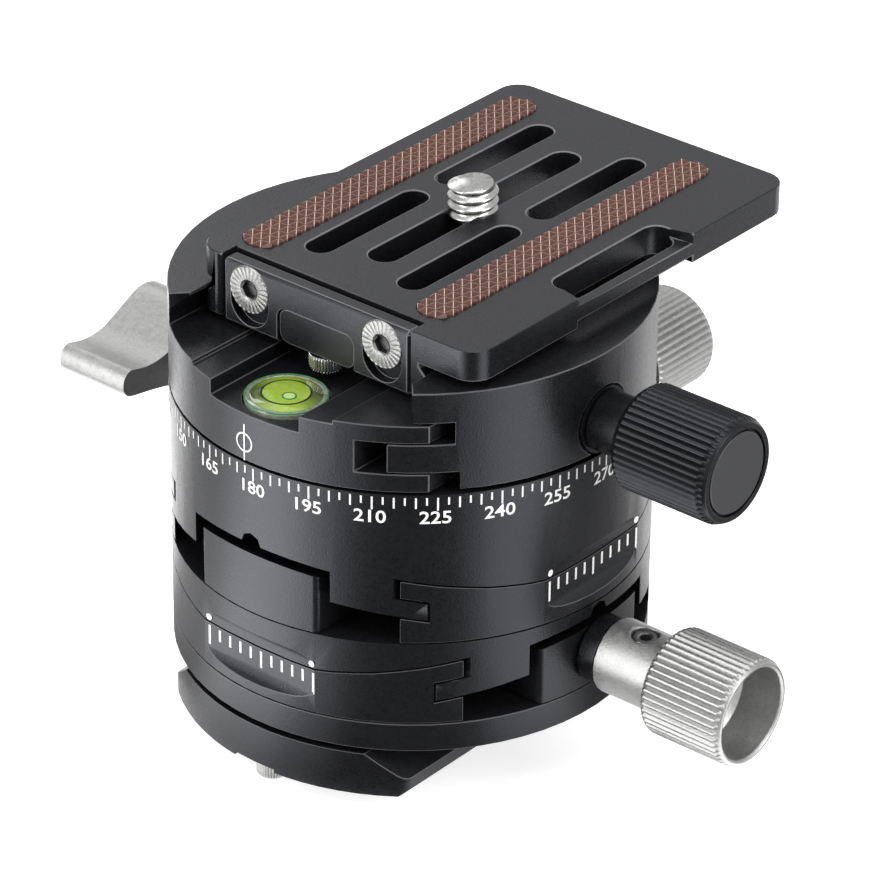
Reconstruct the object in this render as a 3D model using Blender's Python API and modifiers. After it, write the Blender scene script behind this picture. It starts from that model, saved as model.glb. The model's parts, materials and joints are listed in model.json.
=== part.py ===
"""Geared tripod head: two crossed arc stages, each driven by a worm and a gear
sector, a panning platform with a dovetail clamp, and a camera plate.
Metres, +Z up. The origin is the centre of the foot plate's underside, where the
tripod's screw enters. +X points along the clamp knob, +Y along the camera plate."""

import math

import bmesh
import bpy
from mathutils import Matrix, Vector

for old in list(bpy.data.objects):
    bpy.data.objects.remove(old, do_unlink=True)

# Sizes
# Body: the round body stands off the dovetail by the jaws' depth
JAW_DEPTH = 0.0110
BODY_EDGE = 0.00020
SEAM = 0.0002
RUN_GAP = 0.00025
FIT_GAP = 0.0002
OVERRUN = 0.0010
REACH = 0.0080

# Dovetail standard, shared by the foot, the clamp and the camera plate
DOVETAIL_HALF = 0.0190
DOVETAIL_LAND = 0.0012
DOVETAIL_FLARE = 0.0028
DOVETAIL_BEVEL = 0.0004

# Foot plate
FOOT_HEIGHT = 0.0059
FOOT_LAND = 0.00235
FOOT_NECK_INSET = 0.0043
FOOT_GAP = 0.0008
FOOT_BEVEL = 0.00075
FOOT_BOSS_INSET = 0.0007
FOOT_CORNER = 0.0022
FOOT_NOTCH_HALF = 0.0032
FOOT_NOTCH_DEPTH = 0.0005
FOOT_NOTCH_LENGTH = 0.0085
TRIPOD_THREAD_RADIUS = 0.0047625
BUSH_RADIUS = 0.0068
BUSH_FLANGE_RADIUS = 0.0085
BUSH_FLANGE = 0.0012
BUSH_HEIGHT = 0.0092
FOOT_SCREW_X = 0.0100
FOOT_SCREW_Y = 0.0150
M4_RADIUS = 0.0020
M4_HEAD_RADIUS = 0.0037
M4_HEAD = 0.0022
M4_LENGTH = 0.0085
M4_SOCKET = 0.00145
M4_SOCKET_DEPTH = 0.0014
FOOT_STOP_INSET = 0.0036
STOP_RADIUS = 0.0020
STOP_STEM = 0.0010
FOOT_STOP_DROP = 0.0028
STOP_STEM_LENGTH = 0.0032

# Base disc
DISC_HEIGHT = 0.0040

# Arc stages: heights are above a stage's seat, radii are from its tilt centre
ARC_RADIUS = 0.0960
ARC_HEIGHT = 0.0057
LIP_THICK = 0.0024
TONGUE_THICK = 0.00225
LIP_DEPTH = 0.0117
TONGUE_DEPTH = 0.00925
STEM_GAP = 0.0008
STEM_ROOM = 0.00155
CEILING_DROP = 0.0009
LOWER_CROWN = 0.0009
UPPER_STAGE_HEIGHT = 0.02045
STAGE_TRAVEL_DEG = 10.0

# Worm drive
MODULE = 0.0007
SECTOR_TEETH_EACH_SIDE = 8
WORM_STARTS = 2
WORM_AXIS_HEIGHT = 0.0046
WORM_PITCH_RADIUS = 0.0026
WORM_HALF_LENGTH = 0.0040
BACKLASH = 0.00030
ROOT_CLEARANCE = 0.000175
PRESSURE_ANGLE_DEG = 20.0
WORM_STEP_DEG = 30.0
SHAFT_RADIUS = 0.0013
JOURNAL = 0.0038
SECTOR_HALF_WIDTH = 0.0013
SECTOR_ROOF = 0.0044
WORM_ROOM = 0.0003
CHANNEL_MARGIN_DEG = 0.4
NOTCH_ROOM = 0.0003
HOUSING_HALF = 0.0093
HOUSING_DROP = 0.0022
HOUSING_CORNER = 0.0009
PEDESTAL_GAP = 0.0002
SLEEVE_RADIUS = 0.0021
SLEEVE_LENGTH = 0.0034
COLLAR_RADIUS = 0.0044
COLLAR_LENGTH = 0.00245

# Scale pockets of the stages
POCKET_HALF = 0.0089
POCKET_FOOT = 0.0012
POCKET_ABOVE = 0.0028
POCKET_COVE = 0.0018

# Silver adjusting knobs
HUB_STANDOFF = 0.00285
HUB_RADIUS = 0.00485
HUB_LENGTH = 0.00915
GRIP_LENGTH = 0.01165
GRIP_RADIUS = 0.00695
GRIP_FLUTES = 28
FLUTE_DEPTH = 0.00035
GRIP_EDGE = 0.00040
CUP_RADIUS = 0.00594
CUP_DEPTH = 0.0070
CUP_EDGE = 0.0003
KNOB_BORE_MARGIN = 0.0010
SET_SCREW_ALONG = 0.00435
SET_SCREW_RADIUS = 0.0016
SET_SCREW_SUNK = 0.0006
SET_SCREW_SOCKET = 0.0008
SET_SCREW_SOCKET_DEPTH = 0.0010

# Pan base inside
SPINDLE_RADIUS = 0.0100
SPINDLE_FLANGE_RADIUS = 0.0120
SPINDLE_DEPTH = 0.0094
SPINDLE_RISE = 0.0011
RETAINER_RADIUS = 0.0148
RETAINER_THICK = 0.0020
RETAINER_SUNK = 0.0002
BRAKE_DEPTH = 0.00785
SHOE_RADIUS = 0.0020
SHOE_LENGTH = 0.0052
STUD_RADIUS = 0.0018

# Pan lock lever: the outline's shares are of its reach and of its hub radius
LEVER_STANDOFF = 0.0043
LEVER_WIDTH = 0.0110
LEVER_HUB = 0.0048
LEVER_COLLAR_RADIUS = 0.0042
LEVER_STUD_DEPTH = 0.0085
LEVER_REACH = 0.0154
LEVER_EDGE = 0.00045
LEVER_TOP_SHARES = (
    (0.27, 0.68), (0.38, 0.47), (0.49, 0.33), (0.61, 0.26), (0.72, 0.26),
    (0.82, 0.32), (0.90, 0.38), (0.95, 0.32), (0.99, 0.18))
LEVER_BOTTOM_SHARES = (
    (1.0, -0.04), (0.98, -0.18), (0.92, -0.33), (0.70, -0.48), (0.50, -0.62), (0.36, -0.78))

# Platform and clamp: heights are above the platform's underside
PAN_GAP = 0.0004
PLATFORM_HEIGHT = 0.01325
LEDGE_HEIGHT = 0.0089
FLOOR_STEP = 0.0005
FLOOR_HALF = 0.0111
FINGER_PAST_ROOT = 0.0018
TONGUE_SLOT_DEPTH = 0.00725
TONGUE_ROOM = 0.00335
TONGUE_BOTTOM = 0.0026
TONGUE_HEIGHT = 0.0038
FINGER_GAP = 0.0002
JAW_FOOT = 0.0002
JAW_WALL_PAST_ROOT = 0.00385
JAW_STEP = 0.00045
JAW_ROOF_GAP = 0.00035
JAW_TIP_HEIGHT = 0.0004
JAW_CORNER_INSET = 0.0090
JAW_CORNER_PAST_ROOT = 0.0003
PLATE_REST = 0.00085

# Bubble level and its pocket
POCKET_WIDTH_HALF = 0.0070
POCKET_DEPTH = 0.0026
POCKET_BACK = 0.0012
LEVEL_X = 0.0004
LEVEL_INSET = 0.0062
LEVEL_RADIUS = 0.00515
LEVEL_WALL = 0.0007
LEVEL_FLOOR_THICK = 0.0006
LEVEL_SEAT = 0.0036
LEVEL_RISE = 0.0005
LEVEL_DOME = 0.0004

# Clamp knob
CLAMP_AXIS = 0.0042
CLAMP_NECK_RADIUS = 0.00387
CLAMP_NECK_LENGTH = 0.0065
CLAMP_GRIP_LENGTH = 0.0133
CLAMP_GRIP_RADIUS = 0.00685
CLAMP_FLUTES = 30
CLAMP_FLUTE_DEPTH = 0.00022
CLAMP_EDGE = 0.0006
CLAMP_CAP_RADIUS = 0.00546
CLAMP_CAP_DEPTH = 0.0006
CLAMP_SEAT_RADIUS = 0.00433
CLAMP_WASHER = 0.0007
ROD_RADIUS = 0.0020
ROD_TAIL = 0.00515
ROD_KNOB_DEPTH = 0.0090
JAW_BOSS_RADIUS = 0.0034
SPRING_WIRE = 0.00035
SPRING_RADIUS = 0.0028
SPRING_TURNS = 3
SPRING_POINTS = 12
SPRING_SEAT = 0.0010

# Camera plate
PLATE_LEFT_MARGIN = 0.0001
PLATE_RIGHT_MARGIN = 0.0059
PLATE_FRONT_INSET = 0.01184
PLATE_BACK = 0.04298
PLATE_THICK = 0.0085
FLANGE_THICK = 0.0040
PLATE_CORNER = 0.0030
PLATE_EDGE = 0.0003
SLOT_HALF = 0.0019
SLOT_PLACE_SHARE = 0.58
FRONT_SLOT_MARGIN = 0.00756
FRONT_SLOT_END = 0.0105
BACK_SLOT_START = 0.0138
BACK_SLOT_END = 0.0351
SCREW_SLOT_HALF = 0.00205
SCREW_SLOT_MARGIN = 0.01076
SCREW_SLOT_END = 0.0312
GROOVE_HALF = 0.0072
GROOVE_DEPTH = 0.0036
GROOVE_END_MARGIN = 0.0048
STRAP_MARGIN = 0.0016
STRAP_WIDTH = 0.0040
STRAP_START = 0.0016
STRAP_END = 0.0226
STRAP_FLARE = 0.0007
BAR_DROP = 0.0012
BAR_RISE = 0.0010
STRIP_MARGIN = 0.0025
STRIP_WIDTH = 0.0054
STRIP_FRONT_MARGIN = 0.00376
STRIP_END = 0.0393
STRIP_SUNK = 0.0003
STRIP_RISE = 0.0005
PLATE_STOP_MARGIN = 0.00216
PLATE_STOP_RADIUS = 0.0022
PLATE_STOP_HEAD = 0.0019
PLATE_STOP_DROP = 0.0005
PLATE_STOP_STEM = 0.0010
PLATE_STOP_DEPTH = 0.0030

# Anti-twist lip
LIP_INSET = 0.00415
LIP_PLATE_THICK = 0.00256
LIP_BOTTOM = 0.00055
LIP_TOP_DROP = 0.0004
LIP_SIDE_GAP = 0.00015
LIP_EDGE = 0.0005
ARCH_INSET = 0.0044
ARCH_TOP = 0.0050
ARCH_CORNER = 0.0015
BOSS_SETBACK = 0.0003
BOSS_DROP = 0.0003
LIP_SCREW_INSET = 0.00435
LIP_SCREW_DROP = 0.00345
LIP_SCREW_RADIUS = 0.0028
LIP_SCREW_HEAD = 0.0010
LIP_SLOT_DEPTH = 0.0013
LIP_SLOT_TRAVEL = 0.00195
LIP_SCREW_STEM = 0.0013
LIP_SCREW_LENGTH = 0.0055
LIP_SCREW_SOCKET = 0.0010
LIP_SCREW_SOCKET_DEPTH = 0.0006

# Camera screw, 1/4 inch
CAMERA_SCREW_Y = 0.0113
CAMERA_THREAD_RADIUS = 0.003175
CAMERA_NECK_RADIUS = 0.0017
CAMERA_HEAD_RADIUS = 0.0062
CAMERA_HEAD = 0.0020
CAMERA_RISE = 0.0037
CAMERA_TIP = 0.0007
CAMERA_THREAD_START = 0.0006
CAMERA_DRIVE_HALF = 0.0008
CAMERA_DRIVE_DEPTH = 0.0011
CLIP_RADIUS = 0.0048
CLIP_THICK = 0.0006

# Facets
BODY_FACETS = 64
ROUND_FACETS = 20
SMALL_FACETS = 12
ARC_FACETS = 12
SHARP_DEG = 30.0
WELD = 0.000001

# Derived
BODY_RADIUS = DOVETAIL_HALF + JAW_DEPTH
FOOT_TOP = FOOT_HEIGHT
FOOT_NECK_HALF = DOVETAIL_HALF - FOOT_NECK_INSET
FOOT_BOSS_RADIUS = FOOT_NECK_HALF - FOOT_BOSS_INSET
FOOT_STOP_Y = BODY_RADIUS - FOOT_STOP_INSET
LIP_INNER = BODY_RADIUS - LIP_DEPTH
TONGUE_OUTER = BODY_RADIUS - TONGUE_DEPTH
STEM_OUTER = LIP_INNER - STEM_GAP
STEM_INNER = HOUSING_HALF + STEM_ROOM
ARC_RISE = ARC_RADIUS - math.sqrt(ARC_RADIUS ** 2 - BODY_RADIUS ** 2)
LOWER_STAGE_HEIGHT = ARC_HEIGHT + ARC_RISE + LOWER_CROWN
HUB_START = BODY_RADIUS + HUB_STANDOFF
GRIP_START = HUB_START + HUB_LENGTH
GRIP_END = GRIP_START + GRIP_LENGTH
KNOB_BORE_END = GRIP_START - KNOB_BORE_MARGIN
SET_SCREW_AT = HUB_START + SET_SCREW_ALONG
LEVER_INNER = BODY_RADIUS + LEVER_STANDOFF
LEVER_STUD_END = LEVER_INNER + LEVER_STUD_DEPTH
FINGER_END = DOVETAIL_HALF + FINGER_PAST_ROOT
TONGUE_SLOT_END = FINGER_END - TONGUE_SLOT_DEPTH
TONGUE_START = TONGUE_SLOT_END + TONGUE_ROOM
ROD_START = TONGUE_SLOT_END - ROD_TAIL
JAW_WALL = DOVETAIL_HALF + JAW_WALL_PAST_ROOT
JAW_WALL_LOW = JAW_WALL + JAW_STEP
JAW_CORNER_Y = BODY_RADIUS - JAW_CORNER_INSET
JAW_CORNER_X = DOVETAIL_HALF + JAW_CORNER_PAST_ROOT
LEVEL_Y = BODY_RADIUS - LEVEL_INSET
CLAMP_SEAT = BODY_RADIUS
CLAMP_GRIP_START = CLAMP_SEAT + CLAMP_NECK_LENGTH
CLAMP_GRIP_END = CLAMP_GRIP_START + CLAMP_GRIP_LENGTH
PLATE_LEFT = -DOVETAIL_HALF - PLATE_LEFT_MARGIN
PLATE_RIGHT = DOVETAIL_HALF + PLATE_RIGHT_MARGIN
PLATE_FRONT = PLATE_FRONT_INSET - BODY_RADIUS
STRIP_OUTER = DOVETAIL_HALF - STRIP_MARGIN
STRIP_INNER = STRIP_OUTER - STRIP_WIDTH
STRIP_START = PLATE_FRONT + STRIP_FRONT_MARGIN
SLOT_X = SCREW_SLOT_HALF + SLOT_PLACE_SHARE * (STRIP_INNER - SCREW_SLOT_HALF)
FRONT_SLOT_START = PLATE_FRONT + FRONT_SLOT_MARGIN
SCREW_SLOT_START = PLATE_FRONT + SCREW_SLOT_MARGIN
STRAP_RIGHT = PLATE_RIGHT - STRAP_MARGIN
STRAP_LEFT = STRAP_RIGHT - STRAP_WIDTH
PLATE_STOP_Y = -PLATE_FRONT - PLATE_STOP_MARGIN
LIP_HALF = DOVETAIL_HALF - LIP_INSET
LIP_SCREW_X = LIP_HALF - LIP_SCREW_INSET
ARCH_HALF = LIP_SCREW_X - ARCH_INSET
DISC_BOTTOM = FOOT_TOP + FOOT_GAP
LOWER_SEAT = DISC_BOTTOM + DISC_HEIGHT
UPPER_SEAT = LOWER_SEAT + LOWER_STAGE_HEIGHT
PAN_TOP = UPPER_SEAT + UPPER_STAGE_HEIGHT
PLATFORM_BOTTOM = PAN_TOP + PAN_GAP
PLATFORM_TOP = PLATFORM_BOTTOM + PLATFORM_HEIGHT
LEDGE = PLATFORM_BOTTOM + LEDGE_HEIGHT
FLOOR = LEDGE - FLOOR_STEP
POCKET_FLOOR = LEDGE - POCKET_DEPTH
PLATE_BOTTOM = LEDGE + PLATE_REST
PLATE_TOP = PLATE_BOTTOM + PLATE_THICK
CLAMP_Z = PLATFORM_BOTTOM + CLAMP_AXIS
BRAKE_Z = PAN_TOP - BRAKE_DEPTH
HALF_GAP = RUN_GAP / 2
WORM_AXIS_RADIUS = ARC_RADIUS + ARC_HEIGHT - WORM_AXIS_HEIGHT
GEAR_PITCH_RADIUS = WORM_AXIS_RADIUS - WORM_PITCH_RADIUS
WORM_OUTER_RADIUS = WORM_PITCH_RADIUS + MODULE
WORM_ROOT_RADIUS = WORM_PITCH_RADIUS - MODULE - ROOT_CLEARANCE
TOOTH_PITCH = math.pi * MODULE
WORM_LEAD = TOOTH_PITCH * WORM_STARTS
PRESSURE = math.tan(math.radians(PRESSURE_ANGLE_DEG))
TRAVEL = math.radians(STAGE_TRAVEL_DEG)
POCKET_FLAT = math.sqrt(BODY_RADIUS ** 2 - POCKET_HALF ** 2)
RAIL_GROOVE = TONGUE_OUTER + RUN_GAP
LIP_UNDER = ARC_RADIUS + LIP_THICK
TONGUE_TOP = LIP_UNDER + RUN_GAP
TONGUE_UNDER = TONGUE_TOP + TONGUE_THICK
LIP_LOW = PLATE_BOTTOM - LIP_BOTTOM
LIP_HIGH = PLATE_TOP - LIP_TOP_DROP
LIP_BACK = PLATE_FRONT + LIP_PLATE_THICK
LOWER_HEADING = 0.0
UPPER_HEADING = math.pi / 2

# Helpers
model = bpy.data.collections.new("geared_tripod_head")
tools = bpy.data.collections.new("cutters")
bpy.context.scene.collection.children.link(model)
bpy.context.scene.collection.children.link(tools)
MATERIALS = {}


def material(name, colour, roughness, metallic):
    """One Principled material, made once."""
    if name not in MATERIALS:
        made = bpy.data.materials.new(name)
        made.use_nodes = True
        shader = made.node_tree.nodes["Principled BSDF"]
        shader.inputs["Base Color"].default_value = (*colour, 1.0)
        shader.inputs["Roughness"].default_value = roughness
        shader.inputs["Metallic"].default_value = metallic
        made.diffuse_color = (*colour, 1.0)
        MATERIALS[name] = made
    return MATERIALS[name]


BLACK = ((0.030, 0.031, 0.034), 0.42, 0.75)
SILVER = ((0.62, 0.62, 0.61), 0.36, 0.95)
STEEL = ((0.56, 0.57, 0.58), 0.25, 1.0)
BRASS = ((0.62, 0.46, 0.20), 0.30, 1.0)
DARK_STEEL = ((0.16, 0.16, 0.17), 0.35, 0.95)
RUBBER = ((0.155, 0.070, 0.052), 0.70, 0.0)
POLYMER = ((0.72, 0.70, 0.64), 0.55, 0.0)
VIAL = ((0.55, 0.90, 0.12), 0.08, 0.0)


def axes(heading=0.0):
    """Turns a stage's own X and Y to their heading about Z."""
    return Matrix.Rotation(heading, 4, "Z")


def along_x(x=0.0, y=0.0, z=0.0):
    """Places a shape modelled about +Z so that +Z runs along +X."""
    return Matrix.Translation((x, y, z)) @ Matrix.Rotation(math.pi / 2, 4, "Y")


def along_y(x=0.0, y=0.0, z=0.0):
    """Places a shape modelled about +Z so that +Z runs along +Y."""
    return Matrix.Translation((x, y, z)) @ Matrix.Rotation(-math.pi / 2, 4, "X")


def side_view():
    """Takes outline (u, v) to (x, z), with its thickness along Y."""
    return Matrix.Rotation(math.pi / 2, 4, "X")


def end_view():
    """Takes outline (u, v) to (y, z), with its thickness along X."""
    return Matrix(((0, 0, 1, 0), (1, 0, 0, 0), (0, 1, 0, 0), (0, 0, 0, 1)))


def from_bmesh(name, bm, place=None):
    mesh = bpy.data.meshes.new(name)
    bm.to_mesh(mesh)
    bm.free()
    if place is not None:
        mesh.transform(place)
    made = bpy.data.objects.new(name, mesh)
    tools.objects.link(made)
    return made


def block(name, low, high, place=None):
    """A box between two corners."""
    low = Vector(low)
    high = Vector(high)
    bm = bmesh.new()
    bmesh.ops.create_cube(bm, size=1)
    size = high - low
    bmesh.ops.scale(bm, vec=size, verts=bm.verts)
    bmesh.ops.translate(bm, vec=(low + high) / 2, verts=bm.verts)
    return from_bmesh(name, bm, place)


def rod(name, radius, start, end, facets=ROUND_FACETS, place=None, tip=None):
    """A cylinder, or a cone, along Z from start to end."""
    bm = bmesh.new()
    bmesh.ops.create_cone(
        bm, cap_ends=True, segments=facets, radius1=radius,
        radius2=radius if tip is None else tip, depth=end - start)
    bmesh.ops.translate(bm, vec=(0, 0, (start + end) / 2), verts=bm.verts)
    return from_bmesh(name, bm, place)


def turned(name, profile, facets=ROUND_FACETS, place=None):
    """A profile of (radius, height), outer side from top to bottom, swept about Z."""
    bm = bmesh.new()
    points = [bm.verts.new((radius, 0, height)) for radius, height in profile]
    for first, second in zip(points, points[1:]):
        bm.edges.new((first, second))
    if profile[0][0] > 0:
        bm.edges.new((points[-1], points[0]))
    made = from_bmesh(name, bm)
    screw = made.modifiers.new("turn", "SCREW")
    screw.axis = "Z"
    screw.angle = 2 * math.pi
    screw.steps = facets
    screw.render_steps = facets
    screw.use_merge_vertices = True
    screw.merge_threshold = WELD
    screw.use_normal_calculate = True
    return settle(made, place)


def settle(made, place=None):
    """Gives an object its evaluated mesh, welded, and places it."""
    bpy.context.view_layer.update()
    graph = bpy.context.evaluated_depsgraph_get()
    mesh = bpy.data.meshes.new_from_object(made.evaluated_get(graph))
    bm = bmesh.new()
    bm.from_mesh(mesh)
    bmesh.ops.remove_doubles(bm, verts=bm.verts, dist=WELD)
    bmesh.ops.recalc_face_normals(bm, faces=bm.faces)
    bm.to_mesh(mesh)
    bm.free()
    if place is not None:
        mesh.transform(place)
    name = made.name
    bpy.data.objects.remove(made, do_unlink=True)
    fresh = bpy.data.objects.new(name, mesh)
    tools.objects.link(fresh)
    return fresh


def plate(name, outline, low, high, place=None):
    """A flat outline of (u, v), thick from low to high along its normal."""
    curve = bpy.data.curves.new(name, "CURVE")
    curve.dimensions = "2D"
    curve.fill_mode = "BOTH"
    curve.extrude = (high - low) / 2
    line = curve.splines.new("POLY")
    line.points.add(len(outline) - 1)
    for point, (u, v) in zip(line.points, outline):
        point.co = (u, v, 0, 1)
    line.use_cyclic_u = True
    made = bpy.data.objects.new(name, curve)
    tools.objects.link(made)
    shift = Matrix.Translation((0, 0, (low + high) / 2))
    return settle(made, shift if place is None else place @ shift)


def arc(radius, centre, start, end, facets):
    """Points on a circle in (u, v), by angle from the downward direction."""
    step = (end - start) / facets
    turns = [start + step * count for count in range(facets + 1)]
    return [(centre[0] + radius * math.sin(turn),
             centre[1] - radius * math.cos(turn)) for turn in turns]


def rounded(left, right, front, back, radius, facets=6):
    """A rectangle with rounded corners, counter-clockwise."""
    corners = ((right - radius, back - radius, math.pi / 2),
               (left + radius, back - radius, math.pi),
               (left + radius, front + radius, 3 * math.pi / 2),
               (right - radius, front + radius, 2 * math.pi))
    outline = []
    for u, v, turn in corners:
        outline += arc(radius, (u, v), turn, turn + math.pi / 2, facets)
    return [point for point, before in zip(outline, outline[-1:] + outline[:-1])
            if math.dist(point, before) > WELD]


def cut(target, *cutters, kind="DIFFERENCE"):
    for cutter in cutters:
        step = target.modifiers.new(kind.lower(), "BOOLEAN")
        step.operation = kind
        step.solver = "EXACT"
        step.object = cutter
        cutter.hide_render = True
        cutter.display_type = "WIRE"
    return target


def join(target, *others):
    return cut(target, *others, kind="UNION")


def keep(target, *others):
    return cut(target, *others, kind="INTERSECT")


def empty(name, at, parent=None):
    made = bpy.data.objects.new(name, None)
    made.empty_display_size = FOOT_HEIGHT
    made.location = at
    model.objects.link(made)
    if parent is not None:
        made.parent = parent
        made.matrix_parent_inverse = Matrix.Translation(-parent.matrix_world.translation)
    bpy.context.view_layer.update()
    return made


def piece(made, look, holder):
    """Names a finished sub-part, gives it its material and its joint's empty."""
    name = made.name
    tools.objects.unlink(made)
    model.objects.link(made)
    colour, roughness, metallic = look
    made.data.materials.clear()
    made.data.materials.append(material("mat_" + name, colour, roughness, metallic))
    origin = holder.matrix_world.translation.copy()
    for modifier in made.modifiers:
        modifier.show_expanded = False
    made.data.transform(Matrix.Translation(-origin))
    made.location = origin
    made.parent = holder
    made.matrix_parent_inverse = Matrix.Translation(-origin)
    made.data.shade_smooth()
    made.data.set_sharp_from_angle(angle=math.radians(SHARP_DEG))
    return made


# Stage shapes
def span(radius):
    """Half angle at which an arc of this radius has passed the body's edge."""
    return math.asin((BODY_RADIUS + OVERRUN) / radius)


def below(name, centre, radius, low, high, heading, half=None):
    """Everything under an arc, between two offsets along the tilt axis."""
    half = span(radius) if half is None else half
    line = arc(radius, (0, centre), -half, half, ARC_FACETS)
    foot = centre - radius - ARC_HEIGHT - OVERRUN
    outline = [(line[0][0], foot), (line[-1][0], foot)] + line[::-1]
    return plate(name, outline, -high, -low, axes(heading) @ side_view())


def above(name, centre, radius, low, high, heading):
    """Everything over an arc, between two offsets along the tilt axis."""
    line = arc(radius, (0, centre), -span(radius), span(radius), ARC_FACETS)
    roof = centre - radius + BODY_RADIUS
    outline = line + [(line[-1][0], roof), (line[0][0], roof)]
    return plate(name, outline, -high, -low, axes(heading) @ side_view())


def band(name, centre, inner, outer, low, high, heading, half=None):
    """The space between two arcs, between two offsets along the tilt axis."""
    reach = span(inner) if half is None else half
    far = arc(outer, (0, centre), -reach, reach, ARC_FACETS)
    near = arc(inner, (0, centre), reach, -reach, ARC_FACETS)
    return plate(name, far + near, -high, -low, axes(heading) @ side_view())


def arc_tube(name, centre, radius, size, heading):
    """A round bar bent along an arc, to cut a half-round groove."""
    curve = bpy.data.curves.new(name, "CURVE")
    curve.dimensions = "3D"
    curve.bevel_depth = size
    curve.bevel_resolution = 2
    curve.use_fill_caps = True
    reach = span(radius)
    points = arc(radius, (0, centre), -reach, reach, ARC_FACETS)
    line = curve.splines.new("POLY")
    line.points.add(len(points) - 1)
    for point, (u, v) in zip(line.points, points):
        point.co = (u, 0, v, 1)
    made = bpy.data.objects.new(name, curve)
    tools.objects.link(made)
    return settle(made, axes(heading))


def pocket(name, seat, heading):
    """The flat that carries a stage's scale, with a cove at its foot and its head."""
    far = BODY_RADIUS + OVERRUN
    low = seat + POCKET_FOOT
    high = seat + ARC_HEIGHT + POCKET_ABOVE
    inner = -POCKET_FLAT - POCKET_COVE
    foot = arc(POCKET_COVE, (inner, low + POCKET_COVE), 0, math.pi / 2, 5)
    head = arc(POCKET_COVE, (inner, high - POCKET_COVE), math.pi / 2, math.pi, 5)
    return plate(name, [(-far, low)] + foot + head + [(-far, high)], -far, far,
                 axes(heading) @ end_view())


def rail(name, seat, heading, holder, flat=None):
    """One side rail with its lip; its own side is -Y before the heading."""
    centre = seat + ARC_HEIGHT + ARC_RADIUS
    turn = math.acos(LIP_INNER / BODY_RADIUS)
    outline = arc(BODY_RADIUS, (0, 0), -turn, turn, BODY_FACETS // 3)
    made = plate(name, outline, seat, seat + 2 * ARC_HEIGHT, axes(heading))
    far = BODY_RADIUS + OVERRUN
    cut(made,
        above(name + "_top", centre, ARC_RADIUS + HALF_GAP, -far, -LIP_INNER + OVERRUN, heading),
        band(name + "_groove", centre, LIP_UNDER, TONGUE_UNDER + RUN_GAP, -RAIL_GROOVE,
             -LIP_INNER + OVERRUN, heading))
    if flat is not None:
        cut(made, flat)
    return piece(made, BLACK, holder)


def round_ended(half, radius, facets):
    """A bar seen from above: flat sides, the body's round ends and rounded corners."""
    inner = half - radius
    corner = math.sqrt((BODY_RADIUS - radius) ** 2 - inner ** 2)
    turn = math.atan2(inner, corner)
    quarter = math.pi / 2
    end = arc(radius, (corner, -inner), 0, quarter - turn, 4)
    end += arc(BODY_RADIUS, (0, 0), quarter - turn, quarter + turn, facets)[1:-1]
    end += arc(radius, (corner, inner), quarter + turn, math.pi, 4)
    return end + [(-u, -v) for u, v in end]


def worm_housing(name, seat, heading, holder):
    """Carries the worm: two pedestals beside it and a bored boss at each face."""
    centre = seat + ARC_HEIGHT + ARC_RADIUS
    axis = seat + WORM_AXIS_HEIGHT
    place = axes(heading)
    lying = place @ along_x(z=axis)
    made = plate(name, round_ended(HOUSING_HALF, HOUSING_CORNER, 8), seat, seat + 2 * ARC_HEIGHT, place)
    far = HOUSING_HALF + OVERRUN
    cut(made, above(name + "_top", centre, ARC_RADIUS + HOUSING_DROP, -far, far, heading))
    room = WORM_HALF_LENGTH + WORM_ROOM
    top = GEAR_PITCH_RADIUS + MODULE + PEDESTAL_GAP
    half = math.asin((room + JOURNAL) / top)
    ridge = band(name + "_pedestals", centre, top, ARC_RADIUS + ARC_HEIGHT,
                 -WORM_OUTER_RADIUS, WORM_OUTER_RADIUS, heading, half)
    join(made, ridge)
    bore = SHAFT_RADIUS + FIT_GAP
    cut(made,
        rod(name + "_room", WORM_OUTER_RADIUS + WORM_ROOM, -room, room, place=lying),
        rod(name + "_bore", bore, -room - JOURNAL - OVERRUN, BODY_RADIUS + OVERRUN,
            SMALL_FACETS, lying),
        rod(name + "_sleeve", SLEEVE_RADIUS + FIT_GAP, BODY_RADIUS - SLEEVE_LENGTH,
            BODY_RADIUS + OVERRUN, SMALL_FACETS, lying))
    return piece(made, BLACK, holder)


def worm_bush(name, seat, heading, holder):
    """The black bush between the housing and the knob."""
    lying = axes(heading) @ along_x(z=seat + WORM_AXIS_HEIGHT)
    face = BODY_RADIUS + FIT_GAP
    bore = SHAFT_RADIUS + FIT_GAP
    inside = BODY_RADIUS - SLEEVE_LENGTH + FIT_GAP
    made = turned(name, [
        (bore, face + COLLAR_LENGTH), (COLLAR_RADIUS, face + COLLAR_LENGTH),
        (COLLAR_RADIUS, face), (SLEEVE_RADIUS, face), (SLEEVE_RADIUS, inside),
        (bore, inside)], ROUND_FACETS, lying)
    return piece(made, DARK_STEEL, holder)


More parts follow.
